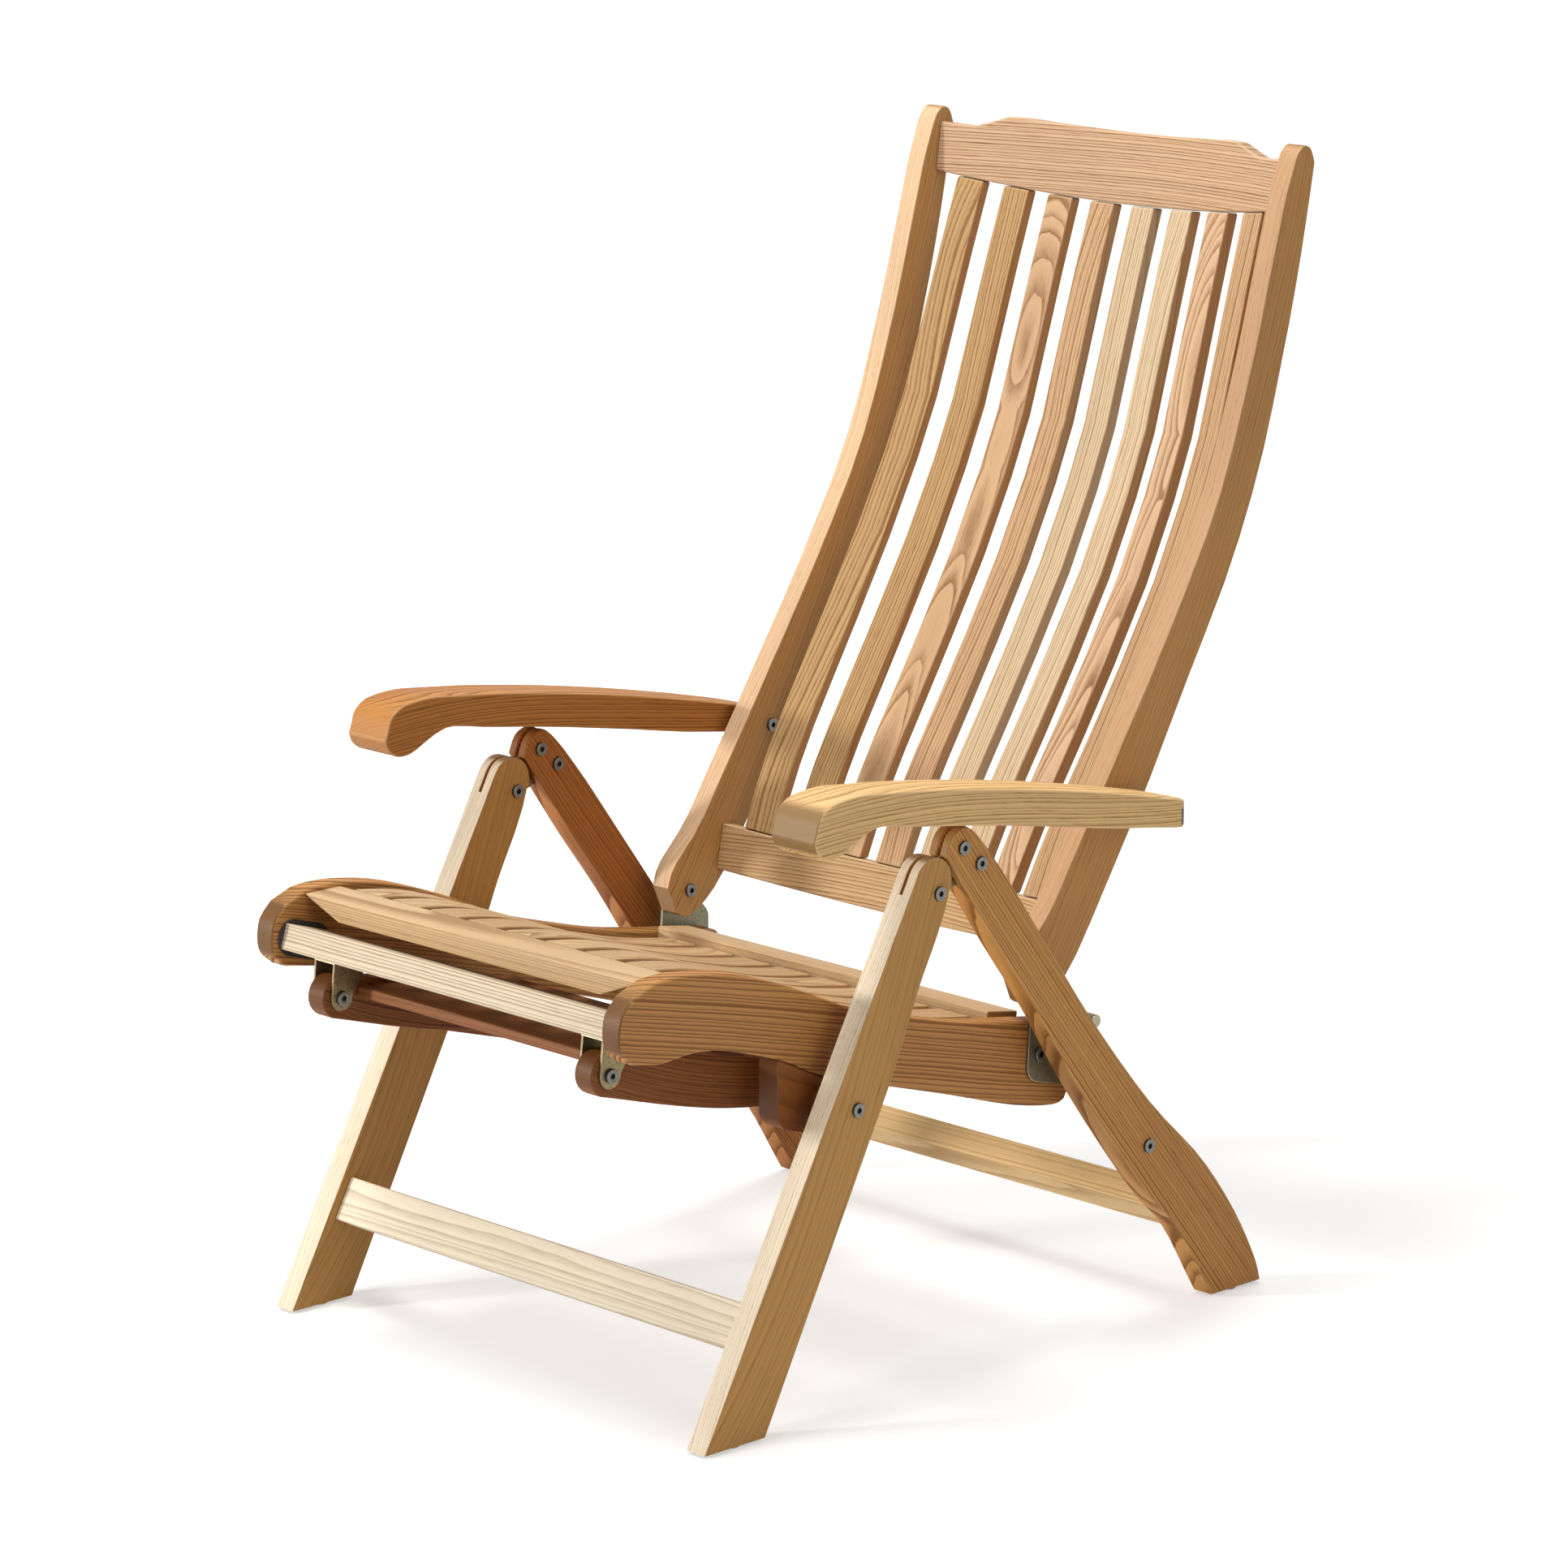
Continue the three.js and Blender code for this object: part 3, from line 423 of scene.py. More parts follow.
@dataclass(frozen=True)
class Ash:
    """Oiled ash with rings, pores, streaks and worn arrises.

    Attributes:
        timber: Its colours.
        figure: How it was sawn.
        grain: How its grain lies.
        seed: Number of the board, which moves its noises.
        flank_oil: Colour of the painted shade on the flanks of the slats, which face the gaps
            between them.
        oil_early: Share of the early wood's colour in oily patches.
        oil_late: Share of the late wood's colour there.
        patches: How strong the oily patches show.
        roughness: Roughness of the late wood.
        gloss: Level of its gloss.
        relief: Depth of the open grain.
    """

    timber: Timber
    figure: Figure
    grain: Grain
    seed: int
    flank_oil: Colour = (0.50, 0.215, 0.052)
    oil_early: float = 0.36
    oil_late: float = 0.11
    patches: float = 0.20
    roughness: float = 0.50
    gloss: float = 0.26
    relief: float = 0.06 * MM

    def _board_place(self, graph: Graph) -> tuple[Value, Value, Value]:
        """Finds the place on the board.

        Args:
            graph: The material's graph.

        Returns:
            The place along, across and through the board.
        """
        turn = Euler((-self.grain.angle, 0.0, 0.0))
        shift = -(turn.to_matrix() @ self.grain.middle)
        inputs = {"Vector": graph.place(), "Location": tuple(shift), "Rotation": tuple(turn)}
        x, y, z = graph.parts(graph.node("ShaderNodeMapping", {"vector_type": "POINT"}, inputs))
        along, side, through = (x, y, z) if self.grain.across else (y, z, x)
        if any(self.grain.bend):
            k3, k2, k1, k0 = self.grain.bend
            side = side - (((along * k3 + k2) * along + k1) * along + k0)
        return (along, through, side) if self.grain.across else (along, side, through)

    def _noise(self, graph: Graph, place: Sequence[Value], kind: Stretch) -> Value:
        """Returns a drawn-out noise, from 0 to 1, at a place on the board."""
        x, y, z = (k * n for k, n in zip(place, (kind.along, kind.across, kind.across)))
        return graph.noise(graph.vector(x + self.seed * kind.shift, y, z), 1.0, kind.detail)

    def _year(self, graph: Graph, rings: Value, pace: float, offset: float) -> Value:
        """Returns a slow change from ring to ring."""
        inputs = {"W": rings * pace + (self.seed + offset), "Scale": 1.0, "Detail": 1.0}
        return graph.node("ShaderNodeTexNoise", {"noise_dimensions": "1D"}, inputs, "Fac")

    def _rings(self, graph: Graph, place: Sequence[Value]) -> Value:
        """Draws the ring lines.

        Args:
            graph: The material's graph.
            place: The place along, across and through the board.

        Returns:
            1 at a ring's sharp edge, falling to 0 towards the next one.
        """
        figure = self.figure
        along, up, through = place
        wander = (self._noise(graph, place, WANDER) - 0.5) * (figure.wobble * 2.0)
        ripple = (self._noise(graph, place, RIPPLE) - 0.5) * (figure.ring * 0.6)
        across = up - along * figure.tilt - figure.pith_up
        depth = through - figure.pith_through
        radius = (across * across + depth * depth) ** 0.5
        rings = (radius + wander + ripple) / figure.ring
        rings = rings + self._year(graph, rings, 0.45, 0.0) * 1.6
        phase = rings.fraction()
        line = ((1.0 - phase) ** 2.6) * phase.ramp(0.0, 0.07)
        return line * (0.35 + self._year(graph, rings, 0.8, 5.0) * 1.3)

    def _turned(self, graph: Graph) -> tuple[Value, ...]:
        """Finds how a face is turned.

        Args:
            graph: The material's graph.

        Returns:
            How far it faces the board's end, its narrow side and the chair's side.
        """
        normal = graph.node("ShaderNodeTexCoord", output="Normal")
        cos, sin = math.cos(self.grain.angle), math.sin(self.grain.angle)
        run = ALONG_X if self.grain.across else (0.0, cos, sin)
        rise = ALONG_Z if self.grain.across else (0.0, -sin, cos)
        turns = []
        for axis, low, high in ((run, 0.12, 0.62), (rise, 0.5, 0.8), (ALONG_X, 0.4, 0.75)):
            settings, inputs = {"operation": "DOT_PRODUCT"}, {0: normal, 1: axis}
            lean = graph.node("ShaderNodeVectorMath", settings, inputs, "Value")
            turns.append((lean * lean).ramp(low, high))
        return tuple(turns)

    def material(self, name: str) -> bpy.types.Material:
        """Makes the material.

        Args:
            name: Name of the material.

        Returns:
            The material.
        """
        graph = Graph(name)
        figure, timber = self.figure, self.timber
        place = self._board_place(graph)
        pores = self._noise(graph, place, PORES).ramp(0.54, 0.70)
        streak = self._noise(graph, place, STREAK)
        cloud = self._noise(graph, place, CLOUD)
        arris = graph.arris()
        end, cheek, flank = self._turned(graph)

        # Rings and pores, on a body whose tone drifts.
        line = self._rings(graph, place) * (1.0 - end * 0.75)
        dark = (line * (0.75 + pores * 0.9) * figure.strength + pores * 0.16).at_most(1.0)
        body = graph.blend(dark, timber.late, timber.early)
        tone = 0.80 + streak * 0.26 + cloud * 0.16
        settings, inputs = {"operation": "SCALE"}, {0: body, "Scale": tone}
        body = graph.node("ShaderNodeVectorMath", settings, inputs)

        # Rubbed edges, and painted light or shade on the narrow faces.
        pale = cheek * figure.cheek * (1.0 - dark * 0.8)
        rub = (arris * (0.15 + cloud * 0.4) + pale).at_most(1.0)
        colour = graph.blend(rub, body, timber.edge)

        # Oil in patches and on the end grain, and painted shade on the flanks of a slat, where it
        # faces the gaps between slats.
        oiled = tuple(
            self.oil_early * early + self.oil_late * late
            for early, late in zip(timber.early, timber.late)
        )
        patch = (cloud.ramp(0.42, 0.80) + streak.ramp(0.5, 0.8) * 0.5) * self.patches
        colour = graph.blend(patch, colour, oiled)
        soaked = (end * (0.80 + cloud * 0.4) * figure.end).at_most(0.95)
        colour = graph.blend(soaked, colour, oiled)
        if figure.flank:
            shade = flank * (1.0 - arris * 0.5) * figure.flank
            colour = graph.blend(shade, colour, self.flank_oil)

        worn = arris * 0.06 + end * 0.08
        rough = self.roughness + dark * 0.16 + streak * 0.12 - worn
        graph.set(Base_Color=colour, Roughness=rough, Specular_IOR_Level=self.gloss)
        graph.bump(1.0 - line * 0.3 - pores * 0.5, self.relief, 0.6)
        return graph.material


# Metal and plastic


@dataclass(frozen=True)
class Metal:
    """Plated metal with fine mottling and rubbed arrises.

    Attributes:
        colour: Its colour.
        worn: Its colour where it is rubbed.
        roughness: Roughness where it is smoothest.
        relief: Depth of the mottling.
    """

    colour: Colour
    worn: Colour
    roughness: float
    relief: float = 0.04 * MM

    def material(self, name: str) -> bpy.types.Material:
        """Makes the material.

        Args:
            name: Name of the material.

        Returns:
            The material.
        """
        graph = Graph(name)
        place = graph.place()
        mottle = graph.noise(place, 420.0, 4.0, 0.6)
        cloud = graph.noise(place, 90.0, 2.0)
        scratch = graph.noise(place, 2600.0, 1.0)
        rubbed = graph.arris() * (0.35 + mottle * 0.6)
        wear = (rubbed + cloud.ramp(0.62, 0.80) * 0.2).at_most(1.0)
        dark = tuple(k * 0.62 for k in self.colour)
        body = graph.blend(mottle.ramp(0.30, 0.66), dark, self.colour)
        graph.set(
            Base_Color=graph.blend(wear, body, self.worn),
            Metallic=1.0,
            Roughness=self.roughness + mottle * 0.20 - wear * 0.08,
        )
        graph.bump(mottle + scratch * 0.3, self.relief, 0.4)
        return graph.material


@dataclass(frozen=True)
class Rubber:
    """Black moulded plastic, also standing as painted shade for a deep dark recess."""

    colour: Colour = (0.014, 0.012, 0.012)
    relief: float = 0.05 * MM

    def material(self, name: str) -> bpy.types.Material:
        """Makes the material.

        Args:
            name: Name of the material.

        Returns:
            The material.
        """
        graph = Graph(name)
        fine = graph.noise(graph.place(), 900.0, 3.0)
        broad = graph.noise(graph.place(), 120.0, 2.0)
        lighter = tuple(k * 2.2 for k in self.colour)
        colour = graph.blend(broad.ramp(0.3, 0.8), self.colour, lighter)
        graph.set(Base_Color=colour, Roughness=0.42 + fine * 0.25)
        graph.bump(fine, self.relief, 0.5)
        return graph.material


ZINC = Metal((0.095, 0.095, 0.087), (0.27, 0.265, 0.24), 0.42)
# Darker metal for the inside of a bolt's hexagon: painted shade of the recess.
SHADOW = Metal((0.045, 0.045, 0.043), (0.12, 0.12, 0.11), 0.5)
OLIVE = Metal((0.27, 0.25, 0.165), (0.44, 0.41, 0.30), 0.42)
BRONZE = Metal((0.30, 0.24, 0.135), (0.52, 0.45, 0.31), 0.36)
BLACK = Rubber()


# Modelling tools


class Part(Enum):
    """What is selected in edit mode, with its name in a mesh."""

    FACE = "faces"
    EDGE = "edges"


Test = Callable[[bmesh.types.BMFace | bmesh.types.BMEdge], bool]


def pick(piece: Piece) -> None:
    """Leaves edit mode and makes one piece the selected and active one.

    Args:
        piece: The piece.
    """
    if bpy.context.object and bpy.context.object.mode != "OBJECT":
        bpy.ops.object.mode_set(mode="OBJECT")
    bpy.ops.object.select_all(action="DESELECT")
    piece.select_set(True)
    bpy.context.view_layer.objects.active = piece


def edit(piece: Piece) -> None:
    """Opens a piece in edit mode with nothing selected.

    Args:
        piece: The piece.
    """
    pick(piece)
    bpy.ops.object.mode_set(mode="EDIT")
    bpy.ops.mesh.select_mode(type="FACE")
    bpy.ops.mesh.select_all(action="DESELECT")


def select(piece: Piece, kind: Part, test: Test) -> bool:
    """Selects the faces or edges that pass a test, in edit mode.

    Args:
        piece: Piece that is open in edit mode.
        kind: Whether faces or edges are selected.
        test: Says whether one of them is wanted.

    Returns:
        Whether any was selected.
    """
    bpy.ops.mesh.select_mode(type=kind.name)
    bpy.ops.mesh.select_all(action="DESELECT")
    mesh = bmesh.from_edit_mesh(piece.data)
    wanted = [part for part in getattr(mesh, kind.value) if test(part)]
    for part in wanted:
        part.select_set(True)
    mesh.select_flush_mode()
    bmesh.update_edit_mesh(piece.data)
    return bool(wanted)


def ease(piece: Piece, width: float, segments: int, wanted: Test) -> None:
    """Rounds the chosen edges and marks the new faces in the corner layer "arris".

    Args:
        piece: Piece that is open in edit mode.
        width: Width of the rounding.
        segments: Steps of the rounding.
        wanted: Says which edges to round.
    """
    mesh = bmesh.from_edit_mesh(piece.data)
    if "arris" not in mesh.loops.layers.float:
        mesh.loops.layers.float.new("arris")
        bmesh.update_edit_mesh(piece.data)
    if not select(piece, Part.EDGE, wanted):
        return
    bpy.ops.mesh.bevel(
        offset=width,
        offset_type="OFFSET",
        segments=segments,
        profile=0.5,
        affect="EDGES",
        clamp_overlap=True,
    )
    mesh = bmesh.from_edit_mesh(piece.data)
    layer = mesh.loops.layers.float["arris"]
    for face in mesh.faces:
        if face.select:
            for corner in face.loops:
                corner[layer] = 1.0
    bmesh.update_edit_mesh(piece.data)


def sharp(limit: float = 28.0) -> Test:
    """Returns a test for outward edges that turn more than limit degrees."""
    least = math.radians(limit)
    return lambda edge: edge.is_manifold and edge.calc_face_angle_signed(0.0) > least


def finish_mesh(piece: Piece, angle: float = 32.0) -> None:
    """Leaves edit mode and shades a piece smooth with weighted normals.

    Args:
        piece: The piece.
        angle: Edges that turn more than this many degrees stay crisp.
    """
    pick(piece)
    bpy.ops.object.shade_smooth_by_angle(angle=math.radians(angle))
    weighted = piece.modifiers.new("weighted", "WEIGHTED_NORMAL")
    weighted.keep_sharp = True
    bpy.ops.object.modifier_apply(modifier=weighted.name)


def settle(piece: Piece) -> None:
    """Puts a piece's place into its mesh and its object at the origin.

    Args:
        piece: The piece.
    """
    bpy.context.view_layer.update()
    piece.data.transform(piece.matrix_world)
    piece.matrix_world = Matrix.Identity(4)


def cylinder(
    name: str, radius: float, depth: float, spot: Sequence[float], sides: int, lying: bool = True
) -> Piece:
    """Adds a cylinder.

    Args:
        name: Name of the piece.
        radius: Its radius.
        depth: Its height.
        spot: Its middle.
        sides: Its flat sides.
        lying: Whether its axis is turned along X.

    Returns:
        The cylinder, whose place is still in its object.
    """
    bpy.ops.object.select_all(action="DESELECT")
    bpy.ops.mesh.primitive_cylinder_add(
        vertices=sides,
        radius=radius,
        depth=depth,
        location=spot,
        rotation=(0.0, math.pi / 2 if lying else 0.0, 0.0),
    )
    piece = bpy.context.object
    piece.name = piece.data.name = name
    return piece


def copy_piece(source: Piece, name: str, move: Matrix | None = None) -> Piece:
    """Copies a piece with its own mesh.

    Args:
        source: Piece to copy.
        name: Name of the copy.
        move: How its mesh is moved, if it is.

    Returns:
        The copy.
    """
    mesh = source.data.copy()
    if move:
        mesh.transform(move)
    piece = bpy.data.objects.new(name, mesh)
    bpy.context.scene.collection.objects.link(piece)
    return piece


def mirror_piece(source: Piece, name: str) -> Piece:
    """Copies a piece to the other side of the chair, with its faces outwards.

    Args:
        source: Piece to copy.
        name: Name of the copy.

    Returns:
        The copy.
    """
    piece = copy_piece(source, name, Matrix.Scale(-1.0, 4, Vector(ALONG_X)))
    edit(piece)
    bpy.ops.mesh.select_all(action="SELECT")
    bpy.ops.mesh.normals_make_consistent(inside=False)
    finish_mesh(piece)
    return piece


def dress(piece: Piece, material: bpy.types.Material) -> None:
    """Makes a material the only one of a piece."""
    piece.data.materials.clear()
    piece.data.materials.append(material)


def carry(piece: Piece, body: str) -> None:
    """Makes a piece ride on a body and reports it.

    Args:
        piece: The piece.
        body: Name of the body.
    """
    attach(piece, body)
    LOG.info("%s: %d faces, on %s", piece.name, len(piece.data.polygons), body)


# Boards


@dataclass
class Frame:
    """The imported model: its nodes, which body each is on and its slot."""

    nodes: dict[str, Piece]
    body_of: dict[str, str]
    slot_of: dict[str, str]

    @classmethod
    def load(cls) -> "Frame":
        """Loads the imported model.

        Returns:
            The model.
        """
        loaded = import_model()
        record = loaded["record"]
        bodies = record["behaviour"]["bodies"]
        body_of = {node: body for body, nodes in bodies.items() for node in nodes}
        slot_of = {part["node"]: part["material_slot"] for part in record["subparts"]}
        return cls(loaded["nodes"], body_of, slot_of)

    def middle(self, node: str) -> Vector:
        """Returns the middle of a node's box."""
        low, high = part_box(node)
        return (low + high) / 2

    def join(self, piece: Piece, node: str) -> None:
        """Puts a piece in a node's place: on its body, with its solid hidden."""
        carry(piece, self.body_of[node])
        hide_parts(node)


@dataclass
class Joinery:
    """Makes dressed boards and plates from the solids of the frame.

    Attributes:
        frame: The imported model.
        weld: Distance under which points become one.
        flat: Turn in degrees under which two faces become one.
        bore_reach: How far from a bolt's axis its bore's edge may lie.
        bore_step: Longest edge of a bore.
        count: Number of boards made so far.
        bores: Places of the bolts, as Y and Z.
    """

    frame: Frame
    weld: float = 0.002 * MM
    flat: float = 0.6
    bore_reach: float = 5.2 * MM
    bore_step: float = 6.0 * MM
    count: int = 0
    bores: list[tuple[float, float]] = field(default_factory=list)

    def __post_init__(self) -> None:
        """Notes where the bolts run, whose bores keep their crisp edge."""
        for node in self.frame.nodes:
            if "bolt" in node or "screw" in node:
                middle = self.frame.middle(node)
                self.bores.append((middle.y, middle.z))

    def _at_bore(self, edge: bmesh.types.BMEdge) -> bool:
        """Says whether an edge belongs to a bore.

        Args:
            edge: The edge.

        Returns:
            True for the short edges round a bolt.
        """
        start, end = (v.co for v in edge.verts)
        y, z = ((start + end) / 2).yz
        near = any(math.hypot(y - by, z - bz) < self.bore_reach for by, bz in self.bores)
        return near and (start - end).length < self.bore_step

    def _eased(
        self,
        node: str,
        name: str,
        round_over: float,
        segments: int,
        keep: Test | None = None,
        shape: Callable[[], None] | None = None,
    ) -> Piece:
        """Copies a solid, welds it and rounds its sharp edges.

        Args:
            node: Name of the CAD node.
            name: Name of the new piece.
            round_over: Radius of its eased edges.
            segments: Steps of the rounding.
            keep: Says which more edges stay crisp.
            shape: Shapes the piece further while it is in edit mode.

        Returns:
            The piece.
        """
        piece = copy_piece(self.frame.nodes[node], name)
        piece.data.materials.clear()
        edit(piece)
        bpy.ops.mesh.select_all(action="SELECT")
        bpy.ops.mesh.remove_doubles(threshold=self.weld)
        bpy.ops.mesh.dissolve_limited(angle_limit=math.radians(self.flat))
        if shape:
            shape()
        bold = sharp()

        def wanted(edge: bmesh.types.BMEdge) -> bool:
            """Says whether an edge is sharp and free to be rounded."""
            return bold(edge) and not self._at_bore(edge) and not (keep and keep(edge))

        ease(piece, round_over, segments, wanted)
        finish_mesh(piece)
        return piece

    def board(
        self,
        node: str,
        timber: Timber,
        figure: Figure,
        round_over: float,
        follow: float = 1.0,
        keep: Test | None = None,
        shape: Callable[[], None] | None = None,
    ) -> None:
        """Makes one board.

        Args:
            node: The CAD node that it stands for.
            timber: Its colours.
            figure: How it was sawn.
            round_over: Radius of its eased edges.
            follow: How far the grain follows the board's curve.
            keep: Says which edges stay crisp.
            shape: Shapes the piece further while it is in edit mode.
        """
        self.count += 1
        piece = self._eased(node, f"ash_{node}", round_over, 3, keep, shape)
        grain = Grain.of(self.frame.nodes[node].data, follow)
        dress(piece, Ash(timber, figure, grain, self.count).material(piece.name))
        self.frame.join(piece, node)

    def plate(self, node: str, metal: Metal, round_over: float) -> None:
        """Makes one sheet-metal part from its solid.

        Args:
            node: The CAD node that it stands for.
            metal: Its finish.
            round_over: Radius of its edges.
        """
        piece = self._eased(node, f"metal_{node}", round_over, 2)
        dress(piece, metal.material(piece.name))
        self.frame.join(piece, node)


# Hardware


@dataclass
class BoltShop:
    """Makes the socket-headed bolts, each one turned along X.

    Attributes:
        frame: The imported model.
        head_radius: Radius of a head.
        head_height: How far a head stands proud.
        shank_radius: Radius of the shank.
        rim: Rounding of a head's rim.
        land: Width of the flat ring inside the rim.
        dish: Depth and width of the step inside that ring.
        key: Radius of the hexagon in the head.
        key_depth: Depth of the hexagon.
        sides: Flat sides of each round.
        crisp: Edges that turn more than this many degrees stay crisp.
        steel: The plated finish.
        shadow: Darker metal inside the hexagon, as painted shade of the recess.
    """

    frame: Frame
    head_radius: float = 6.5 * MM
    head_height: float = 3.0 * MM
    shank_radius: float = 4.0 * MM
    rim: float = 0.8 * MM
    land: float = 1.1 * MM
    dish: float = 0.45 * MM
    key: float = 3.0 * MM
    key_depth: float = 2.2 * MM
    sides: int = 36
    crisp: float = 30.0
    steel: bpy.types.Material = field(init=False)
    shadow: bpy.types.Material = field(init=False)

    def __post_init__(self) -> None:
        """Makes the plated finish that all bolts share, and the painted shade inside their
        hexagons.
        """
        self.steel = ZINC.material("zinc")
        self.shadow = SHADOW.material("socket")

    def _cap(self, piece: Piece, end: float, hand: float) -> None:
        """Eases a head's rim and dishes its face, in edit mode.

        Args:
            piece: The bolt.
            end: X of the head's face.
            hand: 1 for the head towards +X and -1 for the other.
        """

        def on_face(spot: Vector) -> bool:
            """Says whether a point lies on the head's face."""
            return abs(spot.x - end) < TOUCH

        def on_rim(edge: bmesh.types.BMEdge) -> bool:
            """Says whether an edge goes round the head's face."""
            return all(on_face(v.co) for v in edge.verts) and len(edge.link_faces) == 2

        def outer(face: bmesh.types.BMFace) -> bool:
            """Says whether a face is the head's own."""
            return face.normal.x * hand > 0.99 and on_face(face.calc_center_median())

        ease(piece, self.rim, 3, on_rim)
        select(piece, Part.FACE, outer)
        bpy.ops.mesh.inset(thickness=self.land, depth=0.0)
        bpy.ops.mesh.inset(thickness=self.dish, depth=-self.dish)

    def _socket(self, piece: Piece, end: float, hand: float) -> None:
        """Cuts the hexagon into a head.

        Args:
            piece: The bolt.
            end: X of the head's face.
            hand: 1 for the head towards +X and -1 for the other.
        """
        spot = (end + hand * (self.head_height - self.key_depth), 0.0, 0.0)
        tool = cylinder("key", self.key, 2 * self.head_height, spot, 6)
        dress(tool, self.shadow)
        pick(piece)
        cut = piece.modifiers.new("socket", "BOOLEAN")
        cut.operation = "DIFFERENCE"
        cut.solver = "EXACT"
        cut.material_mode = "TRANSFER"
        cut.object = tool
        bpy.ops.object.modifier_apply(modifier=cut.name)
        bpy.data.objects.remove(tool)

    def spindle(self, name: str, inner: float, outer: float, both: bool = False) -> Piece:
        """Makes a bolt on the X axis with a head beyond one or both faces.

        Args:
            name: Name of the piece.
            inner: X of the face under the inner head.
            outer: X of the face under the outer head.
            both: Whether the inner head is made too.

        Returns:
            The bolt, with its axis along X through the origin.
        """
        height = self.head_height
        spot = (outer + height / 2, 0.0, 0.0)
        piece = cylinder(name, self.head_radius, height, spot, self.sides)
        settle(piece)
        edit(piece)
        extrude = bpy.ops.mesh.extrude_region_move
        select(piece, Part.FACE, lambda face: face.normal.x < -0.99)
        bpy.ops.mesh.inset(thickness=self.head_radius - self.shank_radius, depth=0.0)
        extrude(TRANSFORM_OT_translate={"value": (inner - outer, 0.0, 0.0)})
        ends = [(outer + height, 1.0)]
        if both:
            grow = self.head_radius / self.shank_radius
            extrude(TRANSFORM_OT_translate={"value": (0.0, 0.0, 0.0)})
            bpy.ops.transform.resize(value=(1.0, grow, grow), center_override=(inner, 0.0, 0.0))
            extrude(TRANSFORM_OT_translate={"value": (-height, 0.0, 0.0)})
            ends.append((inner - height, -1.0))
        for end, hand in reversed(ends):
            self._cap(piece, end, hand)
        pick(piece)
        dress(piece, self.steel)
        piece.data.materials.append(self.shadow)
        for end, hand in ends:
            self._socket(piece, end, hand)
        finish_mesh(piece, self.crisp)
        return piece

    def family(self, nodes: Sequence[str]) -> None:
        """Makes bolts of one length, with two heads, in place of some nodes.

        Args:
            nodes: The CAD nodes, of which the first gives the length.
        """
        low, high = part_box(nodes[0])
        reach = (high.x - low.x) - 2 * self.head_height
        pattern = self.spindle("pattern", -reach / 2, reach / 2, both=True)
        for node in nodes:
            move = Matrix.Translation(self.frame.middle(node))
            self.frame.join(copy_piece(pattern, f"zinc_{node}", move), node)
        bpy.data.objects.remove(pattern)


